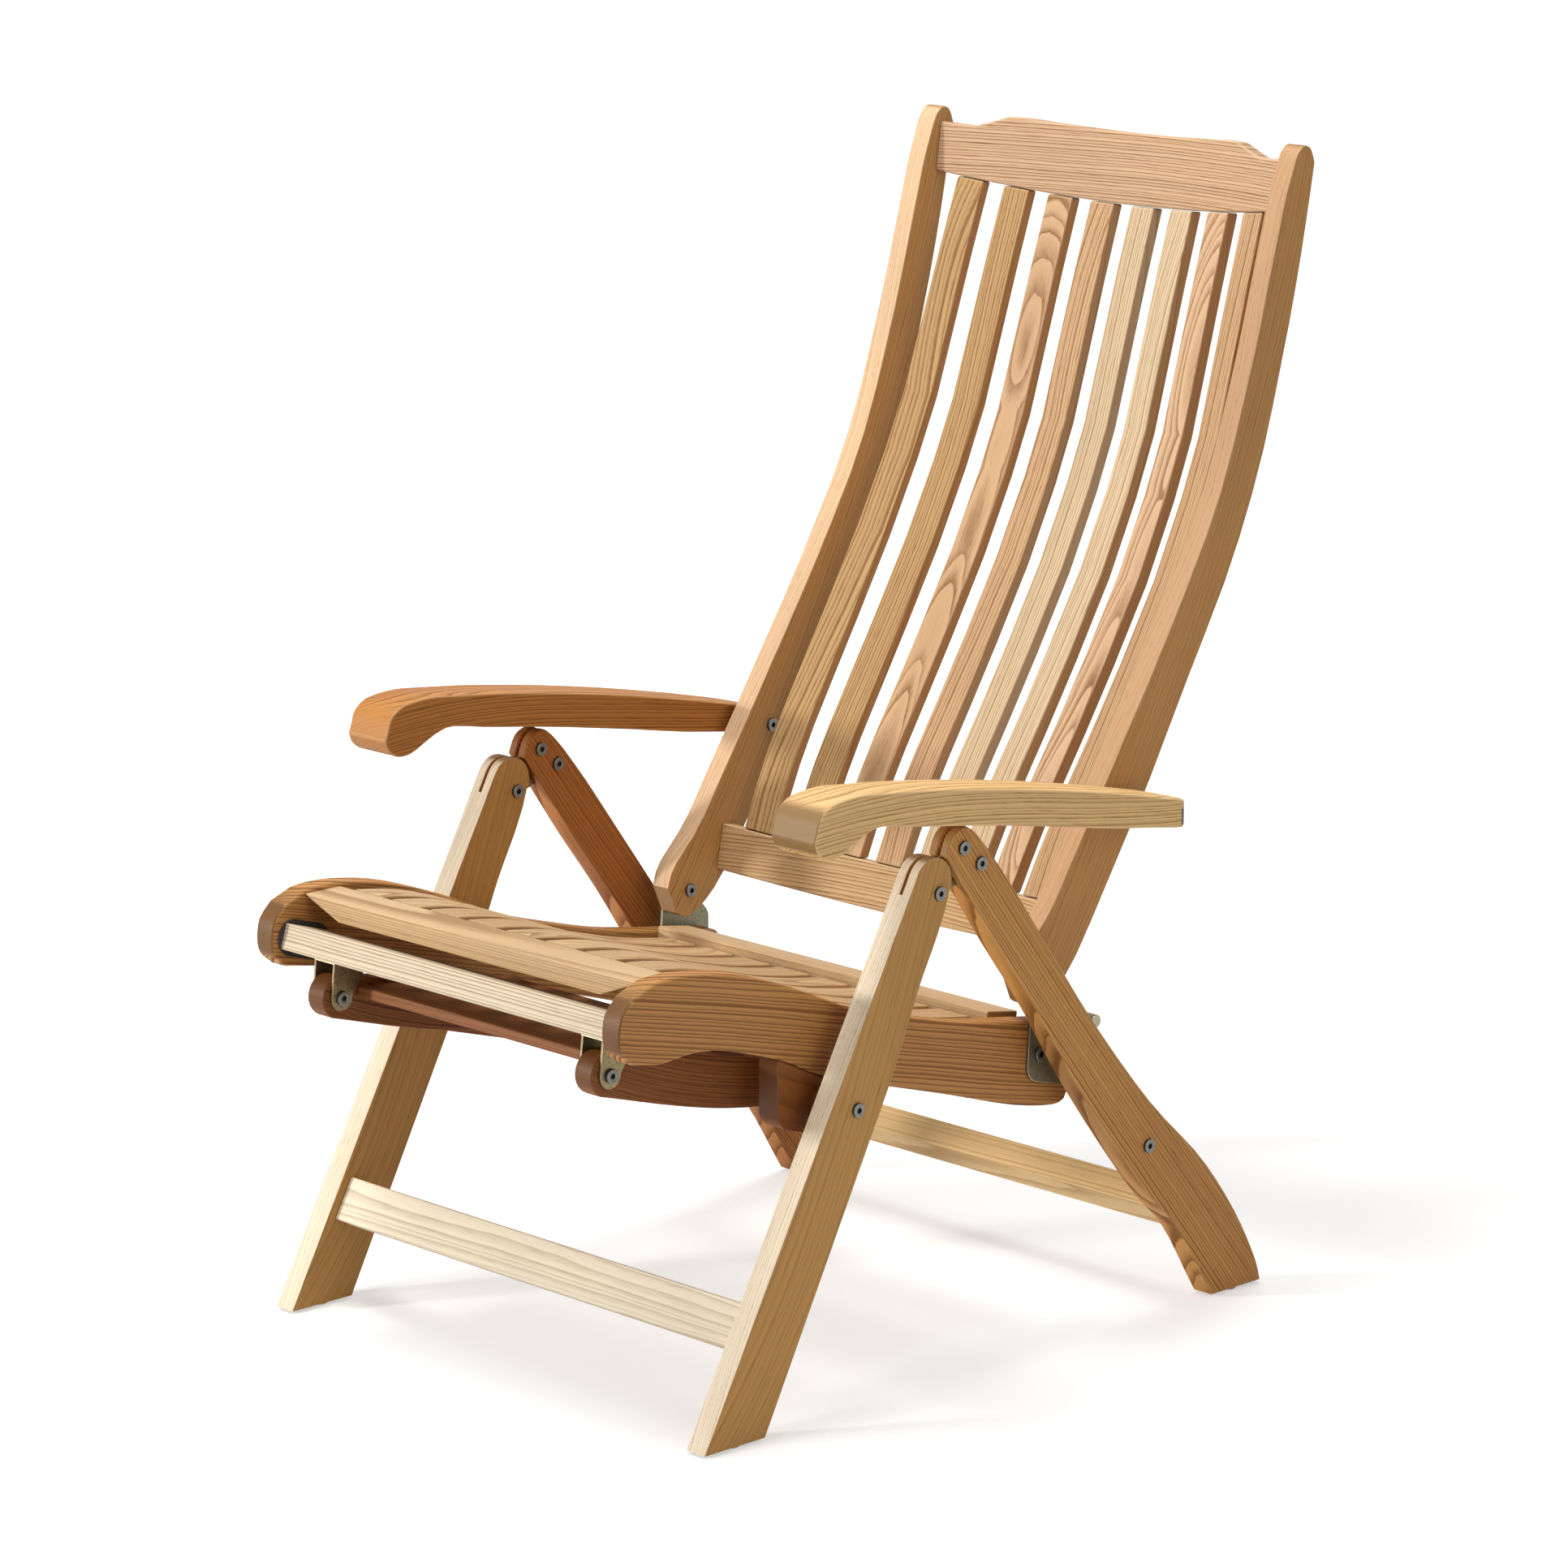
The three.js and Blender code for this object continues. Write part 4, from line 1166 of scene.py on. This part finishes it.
@dataclass
class Hardware:
    """Bolts, plates, brackets, screws, glides and linings.

    Attributes:
        frame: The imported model.
        joinery: Makes the plates.
        shop: Makes the bolts and screws.
        link_edge: Rounding of the link plates.
        bracket_edge: Rounding of the brackets.
        collar_radius: Radius of the collar between stile and arm.
        collar_play: Gap at each end of that collar.
        collar_edge: Rounding of the collar.
        stretcher_screw: Length of the screw into the rear stretcher.
        stretcher_back: How far it lies behind the legs' hinge.
        stretcher_height: Its height.
        bracket_screw: Length of the screw in the back bracket.
        bracket_plate: Thickness of the plate under its head.
        bracket_back: How far it lies before the seat rail's rear end.
        bracket_height: Its height.
        holder_size: Thickness, length and height of the socket of the front bar.
        holder_lean: Turn of that socket in degrees.
        holder_corner: Rounding of its corners.
        holder_edge: Rounding of its rims.
        lining_wide: Width of the lining in an arm's tip.
        lining_tall: Height of that lining.
        lining_deep: How far it reaches round the tip.
        lining_proud: How far it stands out of the wood.
        lining_rim: Width of the rim round its sunk face.
        lining_sunk: Depth of that face.
        glide_radius: Radius of a glide.
        glide_height: Its height.
        glide_edge: Rounding of its lower rim.
        front_glide: Its place behind the front leg's front end.
        rear_glide: Its place before the rear leg's rear end.
    """

    frame: Frame
    joinery: Joinery
    shop: BoltShop
    link_edge: float = 0.4 * MM
    bracket_edge: float = 0.7 * MM
    collar_radius: float = 9.0 * MM
    collar_play: float = 0.3 * MM
    collar_edge: float = 0.9 * MM
    stretcher_screw: float = 16.0 * MM
    stretcher_back: float = 276.8 * MM
    stretcher_height: float = 167.0 * MM
    bracket_screw: float = 14.0 * MM
    bracket_plate: float = 3.3 * MM
    bracket_back: float = 52.7 * MM
    bracket_height: float = 265.1 * MM
    holder_size: tuple[float, float, float] = (1.4 * MM, 60.0 * MM, 34.0 * MM)
    holder_lean: float = -17.0
    holder_corner: float = 15.5 * MM
    holder_edge: float = 0.4 * MM
    lining_wide: float = 50.0 * MM
    lining_tall: float = 15.0 * MM
    lining_deep: float = 17.0 * MM
    lining_proud: float = 0.12 * MM
    lining_rim: float = 0.6 * MM
    lining_sunk: float = 0.05 * MM
    glide_radius: float = 9.0 * MM
    glide_height: float = 3.0 * MM
    glide_edge: float = 1.0 * MM
    front_glide: float = 42.0 * MM
    rear_glide: float = 36.0 * MM

    def build(self) -> None:
        """Makes every metal and plastic piece."""
        self.bolts()
        self.arm_bolts()
        self.sheet_metal()
        self.extra_screws()
        self.bar_sockets()
        self.arm_tips()
        self.glides()

    def bolts(self) -> None:
        """Makes the bolts that have a head at both ends."""
        for kinds in (
            ("leg_hinge_bolt", "link_screw_1", "link_screw_2"),
            ("seat_pivot_bolt",),
            ("back_pivot_bolt",),
            ("footrest_bolt",),
        ):
            self.shop.family([f"{kind}_{hand}" for kind in kinds for hand, _ in SIDES])

    def arm_bolts(self) -> None:
        """Makes the arm bolts, with a collar between stile and arm."""
        low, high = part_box("arm_bolt_left")
        inner = low.x + self.shop.head_height
        right = self.shop.spindle("zinc_arm_bolt_right", -high.x, -inner)
        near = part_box("stile_left")[1].x + self.collar_play
        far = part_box("arm_left")[0].x - self.collar_play
        spot = (-(near + far) / 2, 0.0, 0.0)
        collar = cylinder("collar", self.collar_radius, far - near, spot, self.shop.sides)
        settle(collar)
        edit(collar)
        ease(collar, self.collar_edge, 2, sharp(40.0))
        pick(collar)
        dress(collar, self.shop.steel)
        right.select_set(True)
        bpy.context.view_layer.objects.active = right
        bpy.ops.object.join()
        middle = self.frame.middle("arm_bolt_left")
        right.data.transform(Matrix.Translation((0.0, middle.y, middle.z)))
        finish_mesh(right, self.shop.crisp)
        left = mirror_piece(right, "zinc_arm_bolt_left")
        self.frame.join(left, "arm_bolt_left")
        self.frame.join(right, "arm_bolt_right")

    def sheet_metal(self) -> None:
        """Makes the link plates and both kinds of bracket."""
        for hand, _ in SIDES:
            self.joinery.plate(f"link_plate_{hand}", BRONZE, self.link_edge)
            self.joinery.plate(f"footrest_bracket_{hand}", BRONZE, self.bracket_edge)
            self.joinery.plate(f"back_bracket_{hand}", OLIVE, self.bracket_edge)

    def extra_screws(self) -> None:
        """Makes the screws that no solid stands for: stretcher and bracket."""
        leg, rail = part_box("rear_leg_left")[1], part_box("seat_rail_left")[1]
        hinge = self.frame.middle("leg_hinge_bolt_left")
        stretcher = (0.0, hinge.y + self.stretcher_back, self.stretcher_height)
        bracket = (0.0, rail.y - self.bracket_back, self.bracket_height)
        plate = rail.x + self.bracket_plate
        for label, body, face, length, spot in (
            ("stretcher", "rear_legs", leg.x, self.stretcher_screw, stretcher),
            ("bracket", "seat", plate, self.bracket_screw, bracket),
        ):
            left = self.shop.spindle(f"zinc_{label}_screw_left", face - length, face)
            left.data.transform(Matrix.Translation(spot))
            for piece in (left, mirror_piece(left, f"zinc_{label}_screw_right")):
                carry(piece, body)

    def bar_sockets(self) -> None:
        """Makes the black-lined sockets that hold the ends of the front bar."""
        middle = self.frame.middle("front_bar")
        thick = self.holder_size[0]
        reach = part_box("front_bar")[1].x - thick / 2
        # The black of these sockets is partly painted shade of the groove that holds the bar.
        material = BLACK.material("socket_lining")

        def corner(edge: bmesh.types.BMEdge) -> bool:
            """Says whether an edge runs through the plate's thickness."""
            return abs((edge.verts[0].co - edge.verts[1].co).x) > thick * 0.7

        for hand, side in SIDES:
            bpy.ops.object.select_all(action="DESELECT")
            spot = (side * reach, middle.y, middle.z)
            bpy.ops.mesh.primitive_cube_add(size=1.0, location=spot)
            piece = bpy.context.object
            piece.name = f"bar_socket_{hand}"
            piece.scale = self.holder_size
            piece.rotation_euler = (math.radians(self.holder_lean), 0.0, 0.0)
            settle(piece)
            edit(piece)
            ease(piece, self.holder_corner, 6, corner)
            ease(piece, self.holder_edge, 2, sharp(60.0))
            finish_mesh(piece)
            dress(piece, material)
            carry(piece, "seat")

    def arm_tips(self) -> None:
        """Lays the dark lining of the slot round the rear tip of each arm."""
        # The black of this lining is partly painted shade of the slot in the tip.
        material = BLACK.material("slot_lining")
        for hand, _ in SIDES:
            node = f"arm_{hand}"
            low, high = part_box(node)
            middle, radius = (low.x + high.x) / 2, (high.x - low.x) / 2
            points = (v.co for v in self.frame.nodes[node].data.vertices)
            ends = [co.z for co in points if co.y > high.y - 1.0 * MM]
            spot = Vector((middle, high.y - radius, (min(ends) + max(ends)) / 2))
            name, proud = f"slot_lining_{hand}", radius + self.lining_proud
            piece = cylinder(name, proud, self.lining_tall, spot, 96, lying=False)
            settle(piece)
            edit(piece)
            half = self.lining_wide / 2
            for place, normal in (
                ((middle + half, 0.0, 0.0), (-1.0, 0.0, 0.0)),
                ((middle - half, 0.0, 0.0), ALONG_X),
                ((0.0, high.y - self.lining_deep, 0.0), (0.0, 1.0, 0.0)),
            ):
                bpy.ops.mesh.select_all(action="SELECT")
                bpy.ops.mesh.bisect(
                    plane_co=place, plane_no=normal, use_fill=True, clear_inner=True
                )

            def round_face(face: bmesh.types.BMFace) -> bool:
                """Says whether a face lies on the tip's round."""
                away = (face.calc_center_median().xy - spot.xy).length - radius
                return abs(face.normal.z) < 0.1 and abs(away) < 0.3 * MM

            select(piece, Part.FACE, round_face)
            bpy.ops.mesh.inset(thickness=self.lining_rim, depth=-self.lining_sunk)
            finish_mesh(piece)
            dress(piece, material)
            carry(piece, node)

    def glides(self) -> None:
        """Makes the metal glide under each foot."""
        material = BRONZE.material("glide")
        front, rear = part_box("front_leg_left"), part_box("rear_leg_left")
        for kind, (low, high), y in (
            ("front_leg", front, front[0].y + self.front_glide),
            ("rear_leg", rear, rear[1].y - self.rear_glide),
        ):
            spot = ((low.x + high.x) / 2, y, self.glide_height / 2)
            left = cylinder(
                f"glide_{kind}_left",
                self.glide_radius,
                self.glide_height,
                spot,
                self.shop.sides,
                lying=False,
            )
            settle(left)
            edit(left)
            ease(left, self.glide_edge, 3, lambda edge: all(v.co.z < TOUCH for v in edge.verts))
            finish_mesh(left)
            dress(left, material)
            for piece in (left, mirror_piece(left, f"glide_{kind}_right")):
                carry(piece, f"{kind}s")


# Sub-assemblies of wood


@dataclass
class LegFrames:
    """Front and rear legs with their stretchers.

    Attributes:
        joinery: Makes the boards.
        edge: Rounding of their edges.
        lift: Height of the feet above the floor, where they stand on glides.
        rear_follow: How far the grain of the rear legs follows their curve.
    """

    joinery: Joinery
    edge: float = 1.8 * MM
    lift: float = 2.4 * MM
    rear_follow: float = 0.35

    def _lift_foot(self) -> None:
        """Cuts the foot of the board in edit mode off a little above the floor."""
        bpy.ops.mesh.select_all(action="SELECT")
        bpy.ops.mesh.bisect(
            plane_co=(0.0, 0.0, self.lift), plane_no=ALONG_Z, use_fill=True, clear_inner=True
        )

    def build(self) -> None:
        """Makes the legs and stretchers."""
        board, cut = self.joinery.board, self._lift_foot
        # The front legs' front faces take TAN's near-white edge colour as a painted highlight; the
        # far (right) rear leg takes the darker DEEP as painted shade of the seat's shadow on it.
        for hand, timber in (("left", Timber.RUSSET), ("right", Timber.DEEP)):
            board(f"front_leg_{hand}", Timber.TAN, CHEEKED, self.edge, shape=cut)
            board(f"rear_leg_{hand}", timber, QUARTER, self.edge, self.rear_follow, shape=cut)
        board("front_stretcher", Timber.PALE, FLAT, self.edge)
        board("rear_stretcher", Timber.STRAW, RIFT, self.edge)


@dataclass
class Seat:
    """Seat rails, hanger blocks, boards, slats and the bar across the front."""

    joinery: Joinery
    slats: int = 8
    rail_edge: float = 4.0 * MM
    rail_follow: float = 0.15
    block_edge: float = 1.5 * MM
    board_edge: float = 1.6 * MM
    bar_edge: float = 1.4 * MM
    slat_edge: float = 2.0 * MM

    def build(self) -> None:
        """Makes the seat."""
        board = self.joinery.board
        for hand, _ in SIDES:
            board(f"seat_rail_{hand}", Timber.BROWN, BOLD, self.rail_edge, self.rail_follow)
            # The hanger blocks take the dark timber as painted shade under the seat.
            board(f"hanger_block_{hand}", Timber.DARK, PLAIN, self.block_edge, follow=0.0)
        board("front_board", Timber.HONEY, QUARTER, self.board_edge)
        board("rear_cross_rail", Timber.HONEY, RIFT, self.board_edge)
        board("front_bar", Timber.ASHEN, RIBBED, self.bar_edge)
        figures = (QUARTER, FLAT, PLAIN, RIFT)
        for number in range(1, self.slats + 1):
            figure = figures[number % len(figures)].turned()
            board(f"seat_slat_{number}", Timber.HONEY, figure, self.slat_edge)


@dataclass
class Back:
    """Stiles, crest, bottom rail and the bowed slats."""

    joinery: Joinery
    stile_edge: float = 3.0 * MM
    stile_follow: float = 0.8
    crest_edge: float = 2.4 * MM
    rail_edge: float = 2.0 * MM
    slat_edge: float = 1.8 * MM
    slats: tuple[tuple[Timber, Figure], ...] = (
        (Timber.OCHRE, RIFT),
        (Timber.OCHRE, QUARTER),
        (Timber.BLUSH, FLAT),
        (Timber.BLUSH, RIFT),
        (Timber.WHEAT, QUARTER),
        (Timber.WHEAT, RIFT),
        (Timber.ROSE, FLAT),
        (Timber.BLUSH, QUARTER),
    )

    def build(self) -> None:
        """Makes the back."""
        board = self.joinery.board
        # The near (left) stile's front face takes FAWN's darker edge colour as painted shade; the
        # far stile's takes AMBER's paler one as painted light.
        for hand, timber in (("left", Timber.FAWN), ("right", Timber.AMBER)):
            board(f"stile_{hand}", timber, SMOOTH, self.stile_edge, self.stile_follow)
        board("crest_rail", Timber.ROSE, QUARTER, self.crest_edge)
        board("back_bottom_rail", Timber.HONEY, RIFT, self.rail_edge)
        for number, (timber, figure) in enumerate(self.slats, 1):
            board(f"back_slat_{number}", timber, figure.turned(), self.slat_edge)


@dataclass
class Arms:
    """Both arms, with broad rounded noses.

    Attributes:
        joinery: Makes the boards.
        edge: Rounding of their edges.
        follow: How far the grain follows their curve.
        slot_reach: How far the rear slot's edges lie from the tip, at most.
        slot_inner: Least distance of those edges from the chair's middle.
        slot_outer: Their greatest distance from it.
    """

    joinery: Joinery
    edge: float = 5.5 * MM
    follow: float = 0.8
    slot_reach: float = 24.0 * MM
    slot_inner: float = 268.9 * MM
    slot_outer: float = 297.1 * MM

    def _in_slot(self, tip: float) -> Test:
        """Returns a test for the slot's edges, from the Y of the arm's tip."""
        start, inner, outer = tip - self.slot_reach, self.slot_inner, self.slot_outer
        return lambda edge: all(v.co.y > start and inner < abs(v.co.x) < outer for v in edge.verts)

    def build(self) -> None:
        """Makes the arms, whose rear slots keep a crisp edge."""
        # The far (right) arm takes the darker CHESTNUT as painted shade on its inner side, and
        # little end-grain darkening, so that its nose stays pale as painted light.
        for hand, timber, figure in (
            ("left", Timber.SAND, ARM),
            ("right", Timber.CHESTNUT, replace(ARM, end=0.1)),
        ):
            node = f"arm_{hand}"
            keep = self._in_slot(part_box(node)[1].y)
            self.joinery.board(node, timber, figure, self.edge, self.follow, keep)


@dataclass
class Footrest:
    """Footrest rails and slats, tucked under the seat."""

    joinery: Joinery
    slats: int = 3
    rail_edge: float = 3.0 * MM
    rail_follow: float = 0.3
    slat_edge: float = 1.8 * MM

    def build(self) -> None:
        """Makes the footrest."""
        board = self.joinery.board
        # Rails and slats take the dark timber as painted shade, for the seat's shadow over the
        # footrest.
        for hand, _ in SIDES:
            node = f"footrest_rail_{hand}"
            board(node, Timber.DARK, QUARTER, self.rail_edge, self.rail_follow)
        for number in range(1, self.slats + 1):
            board(f"footrest_slat_{number}", Timber.DARK, RIFT, self.slat_edge)


# Studio


@dataclass(frozen=True)
class Lamp:
    """A square area lamp.

    Attributes:
        name: Its name.
        spot: Where it stands.
        size: Length of its sides.
        power: Its power in watts.
        colour: Its colour.
    """

    name: str
    spot: tuple[float, float, float]
    size: float
    power: float
    colour: Colour

    def place(self, aim: Vector) -> None:
        """Adds the lamp to the scene.

        Args:
            aim: What it points at.
        """
        data = bpy.data.lights.new(self.name, "AREA")
        data.shape = "SQUARE"
        data.size = self.size
        data.energy = self.power
        data.color = self.colour
        lamp = bpy.data.objects.new(self.name, data)
        bpy.context.scene.collection.objects.link(lamp)
        spot = Vector(self.spot)
        turn = (spot - aim).to_track_quat("Z", "Y").to_matrix().to_4x4()
        lamp.matrix_world = Matrix.Translation(spot) @ turn


@dataclass
class Studio:
    """Camera, lamps, world and floor.

    Attributes:
        azimuth: Direction of the camera round the chair, in degrees.
        elevation: Height of the camera, in degrees above level.
        focal: Focal length in pixels of the photograph.
        width: Width of the photograph in pixels.
        eye: Place of the camera.
        sensor: Width of the sensor in millimetres.
        lamps: A low key at the front left, a softbox above and a fill at the right.
        aim: What the lamps point at.
        ambient: Strength of the light from all round.
        glow: How far the floor is lifted towards white where it is seen.
        far_glow: How much further it is lifted away from the chair.
        near: Distance from the chair's middle where that lift starts.
        far: Distance where it is whole.
        floor_size: Length of the floor's sides.
        floor_drop: How far it lies below the feet.
        floor_grey: Its colour.
    """

    azimuth: float = 46.008
    elevation: float = 12.845
    focal: float = 7168.69
    width: float = 1932.0
    eye: tuple[float, float, float] = (3.7663, -3.65928, 1.6846)
    sensor: float = 36.0
    lamps: tuple[Lamp, ...] = (
        Lamp("key", (-2.45, -4.1, 1.45), 0.45, 145.0, (1.0, 0.985, 0.96)),
        Lamp("top", (-0.4, -0.6, 4.3), 1.5, 139.0, (1.0, 0.99, 0.98)),
        Lamp("fill", (4.2, -0.6, 2.0), 3.0, 34.0, (1.0, 0.98, 0.95)),
    )
    aim: tuple[float, float, float] = (0.0, 0.0, 0.5)
    ambient: float = 0.26
    glow: float = 0.48
    far_glow: float = 0.4
    near: float = 1.0
    far: float = 3.2
    floor_size: float = 40.0
    floor_drop: float = 0.4 * MM
    floor_grey: Colour = (0.74, 0.74, 0.74)

    def build(self) -> None:
        """Makes the camera, lights and floor."""
        self.camera()
        for lamp in self.lamps:
            lamp.place(Vector(self.aim))
        self.world()
        self.floor()
        bpy.context.scene.view_settings.view_transform = "Standard"

    def camera(self) -> None:
        """Places the camera at the photograph's angle."""
        data = bpy.data.cameras.new("camera")
        data.sensor_width = self.sensor
        data.lens = self.focal / self.width * self.sensor
        data.clip_end = 100.0
        piece = bpy.data.objects.new("camera", data)
        bpy.context.scene.collection.objects.link(piece)
        az, el = math.radians(self.azimuth), math.radians(self.elevation)
        level = math.cos(el)
        back = Vector((math.sin(az) * level, -math.cos(az) * level, math.sin(el)))
        right = Vector((math.cos(az), math.sin(az), 0.0))
        turn = Matrix((right, back.cross(right), back)).transposed().to_4x4()
        piece.matrix_world = Matrix.Translation(self.eye) @ turn
        bpy.context.scene.camera = piece

    @staticmethod
    def _seen(tree: bpy.types.NodeTree) -> bpy.types.NodeSocket:
        """Tells the rays that see a surface from those that light it.

        Args:
            tree: The node tree.

        Returns:
            1 for rays of the camera, a gloss or a glass, and 0 for the others.
        """
        rays = tree.nodes.new("ShaderNodeLightPath")
        socket = rays.outputs["Is Camera Ray"]
        for name in ("Is Glossy Ray", "Is Transmission Ray"):
            highest = tree.nodes.new("ShaderNodeMath")
            highest.operation = "MAXIMUM"
            tree.links.new(socket, highest.inputs[0])
            tree.links.new(rays.outputs[name], highest.inputs[1])
            socket = highest.outputs[0]
        return socket

    def world(self) -> None:
        """Fills the scene with soft white light, seen as plain white."""
        world = bpy.data.worlds.new("studio")
        bpy.context.scene.world = world
        world.use_nodes = True
        tree = world.node_tree
        background = next(n for n in tree.nodes if n.type == "BACKGROUND")
        mix = tree.nodes.new("ShaderNodeMix")
        mix.data_type = "FLOAT"
        mix.inputs[2].default_value = self.ambient
        mix.inputs[3].default_value = 1.0
        tree.links.new(self._seen(tree), mix.inputs[0])
        tree.links.new(mix.outputs[0], background.inputs["Strength"])
        background.inputs["Color"].default_value = (1.0, 1.0, 1.0, 1.0)

    def floor(self) -> None:
        """Lays a pale floor that shows white and keeps a faint shadow."""
        bpy.ops.object.select_all(action="DESELECT")
        spot = (0.0, 0.0, -self.floor_drop)
        bpy.ops.mesh.primitive_plane_add(size=self.floor_size, location=spot)
        floor = bpy.context.object
        floor.name = "floor"
        settle(floor)
        graph = Graph("floor")
        graph.set(Base_Color=self.floor_grey, Roughness=0.9, Specular_IOR_Level=0.1)
        x, y, _ = graph.parts(graph.place())
        away = ((x * x + y * y) ** 0.5).ramp(self.near, self.far)
        lift = Value(graph, self._seen(graph.tree)) * (self.glow + away * self.far_glow)
        glow = graph.node("ShaderNodeEmission", inputs={"Strength": lift})
        shader = Value(graph, graph.shader.outputs[0])
        lit = graph.node("ShaderNodeAddShader", inputs={0: shader, 1: glow})
        out = next(n for n in graph.tree.nodes if n.type == "OUTPUT_MATERIAL")
        graph.feed(out.inputs["Surface"], lit)
        dress(floor, graph.material)


def main() -> None:
    """Builds the chair and its studio."""
    logging.basicConfig(level=logging.INFO, format="%(name)s %(message)s")
    frame = Frame.load()
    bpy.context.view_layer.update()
    Studio().build()
    joinery = Joinery(frame)
    for assembly in (
        LegFrames(joinery),
        Seat(joinery),
        Back(joinery),
        Arms(joinery),
        Footrest(joinery),
        Hardware(frame, joinery, BoltShop(frame)),
    ):
        assembly.build()
        LOG.info("%s built", type(assembly).__name__)


if __name__ == "__main__":
    main()
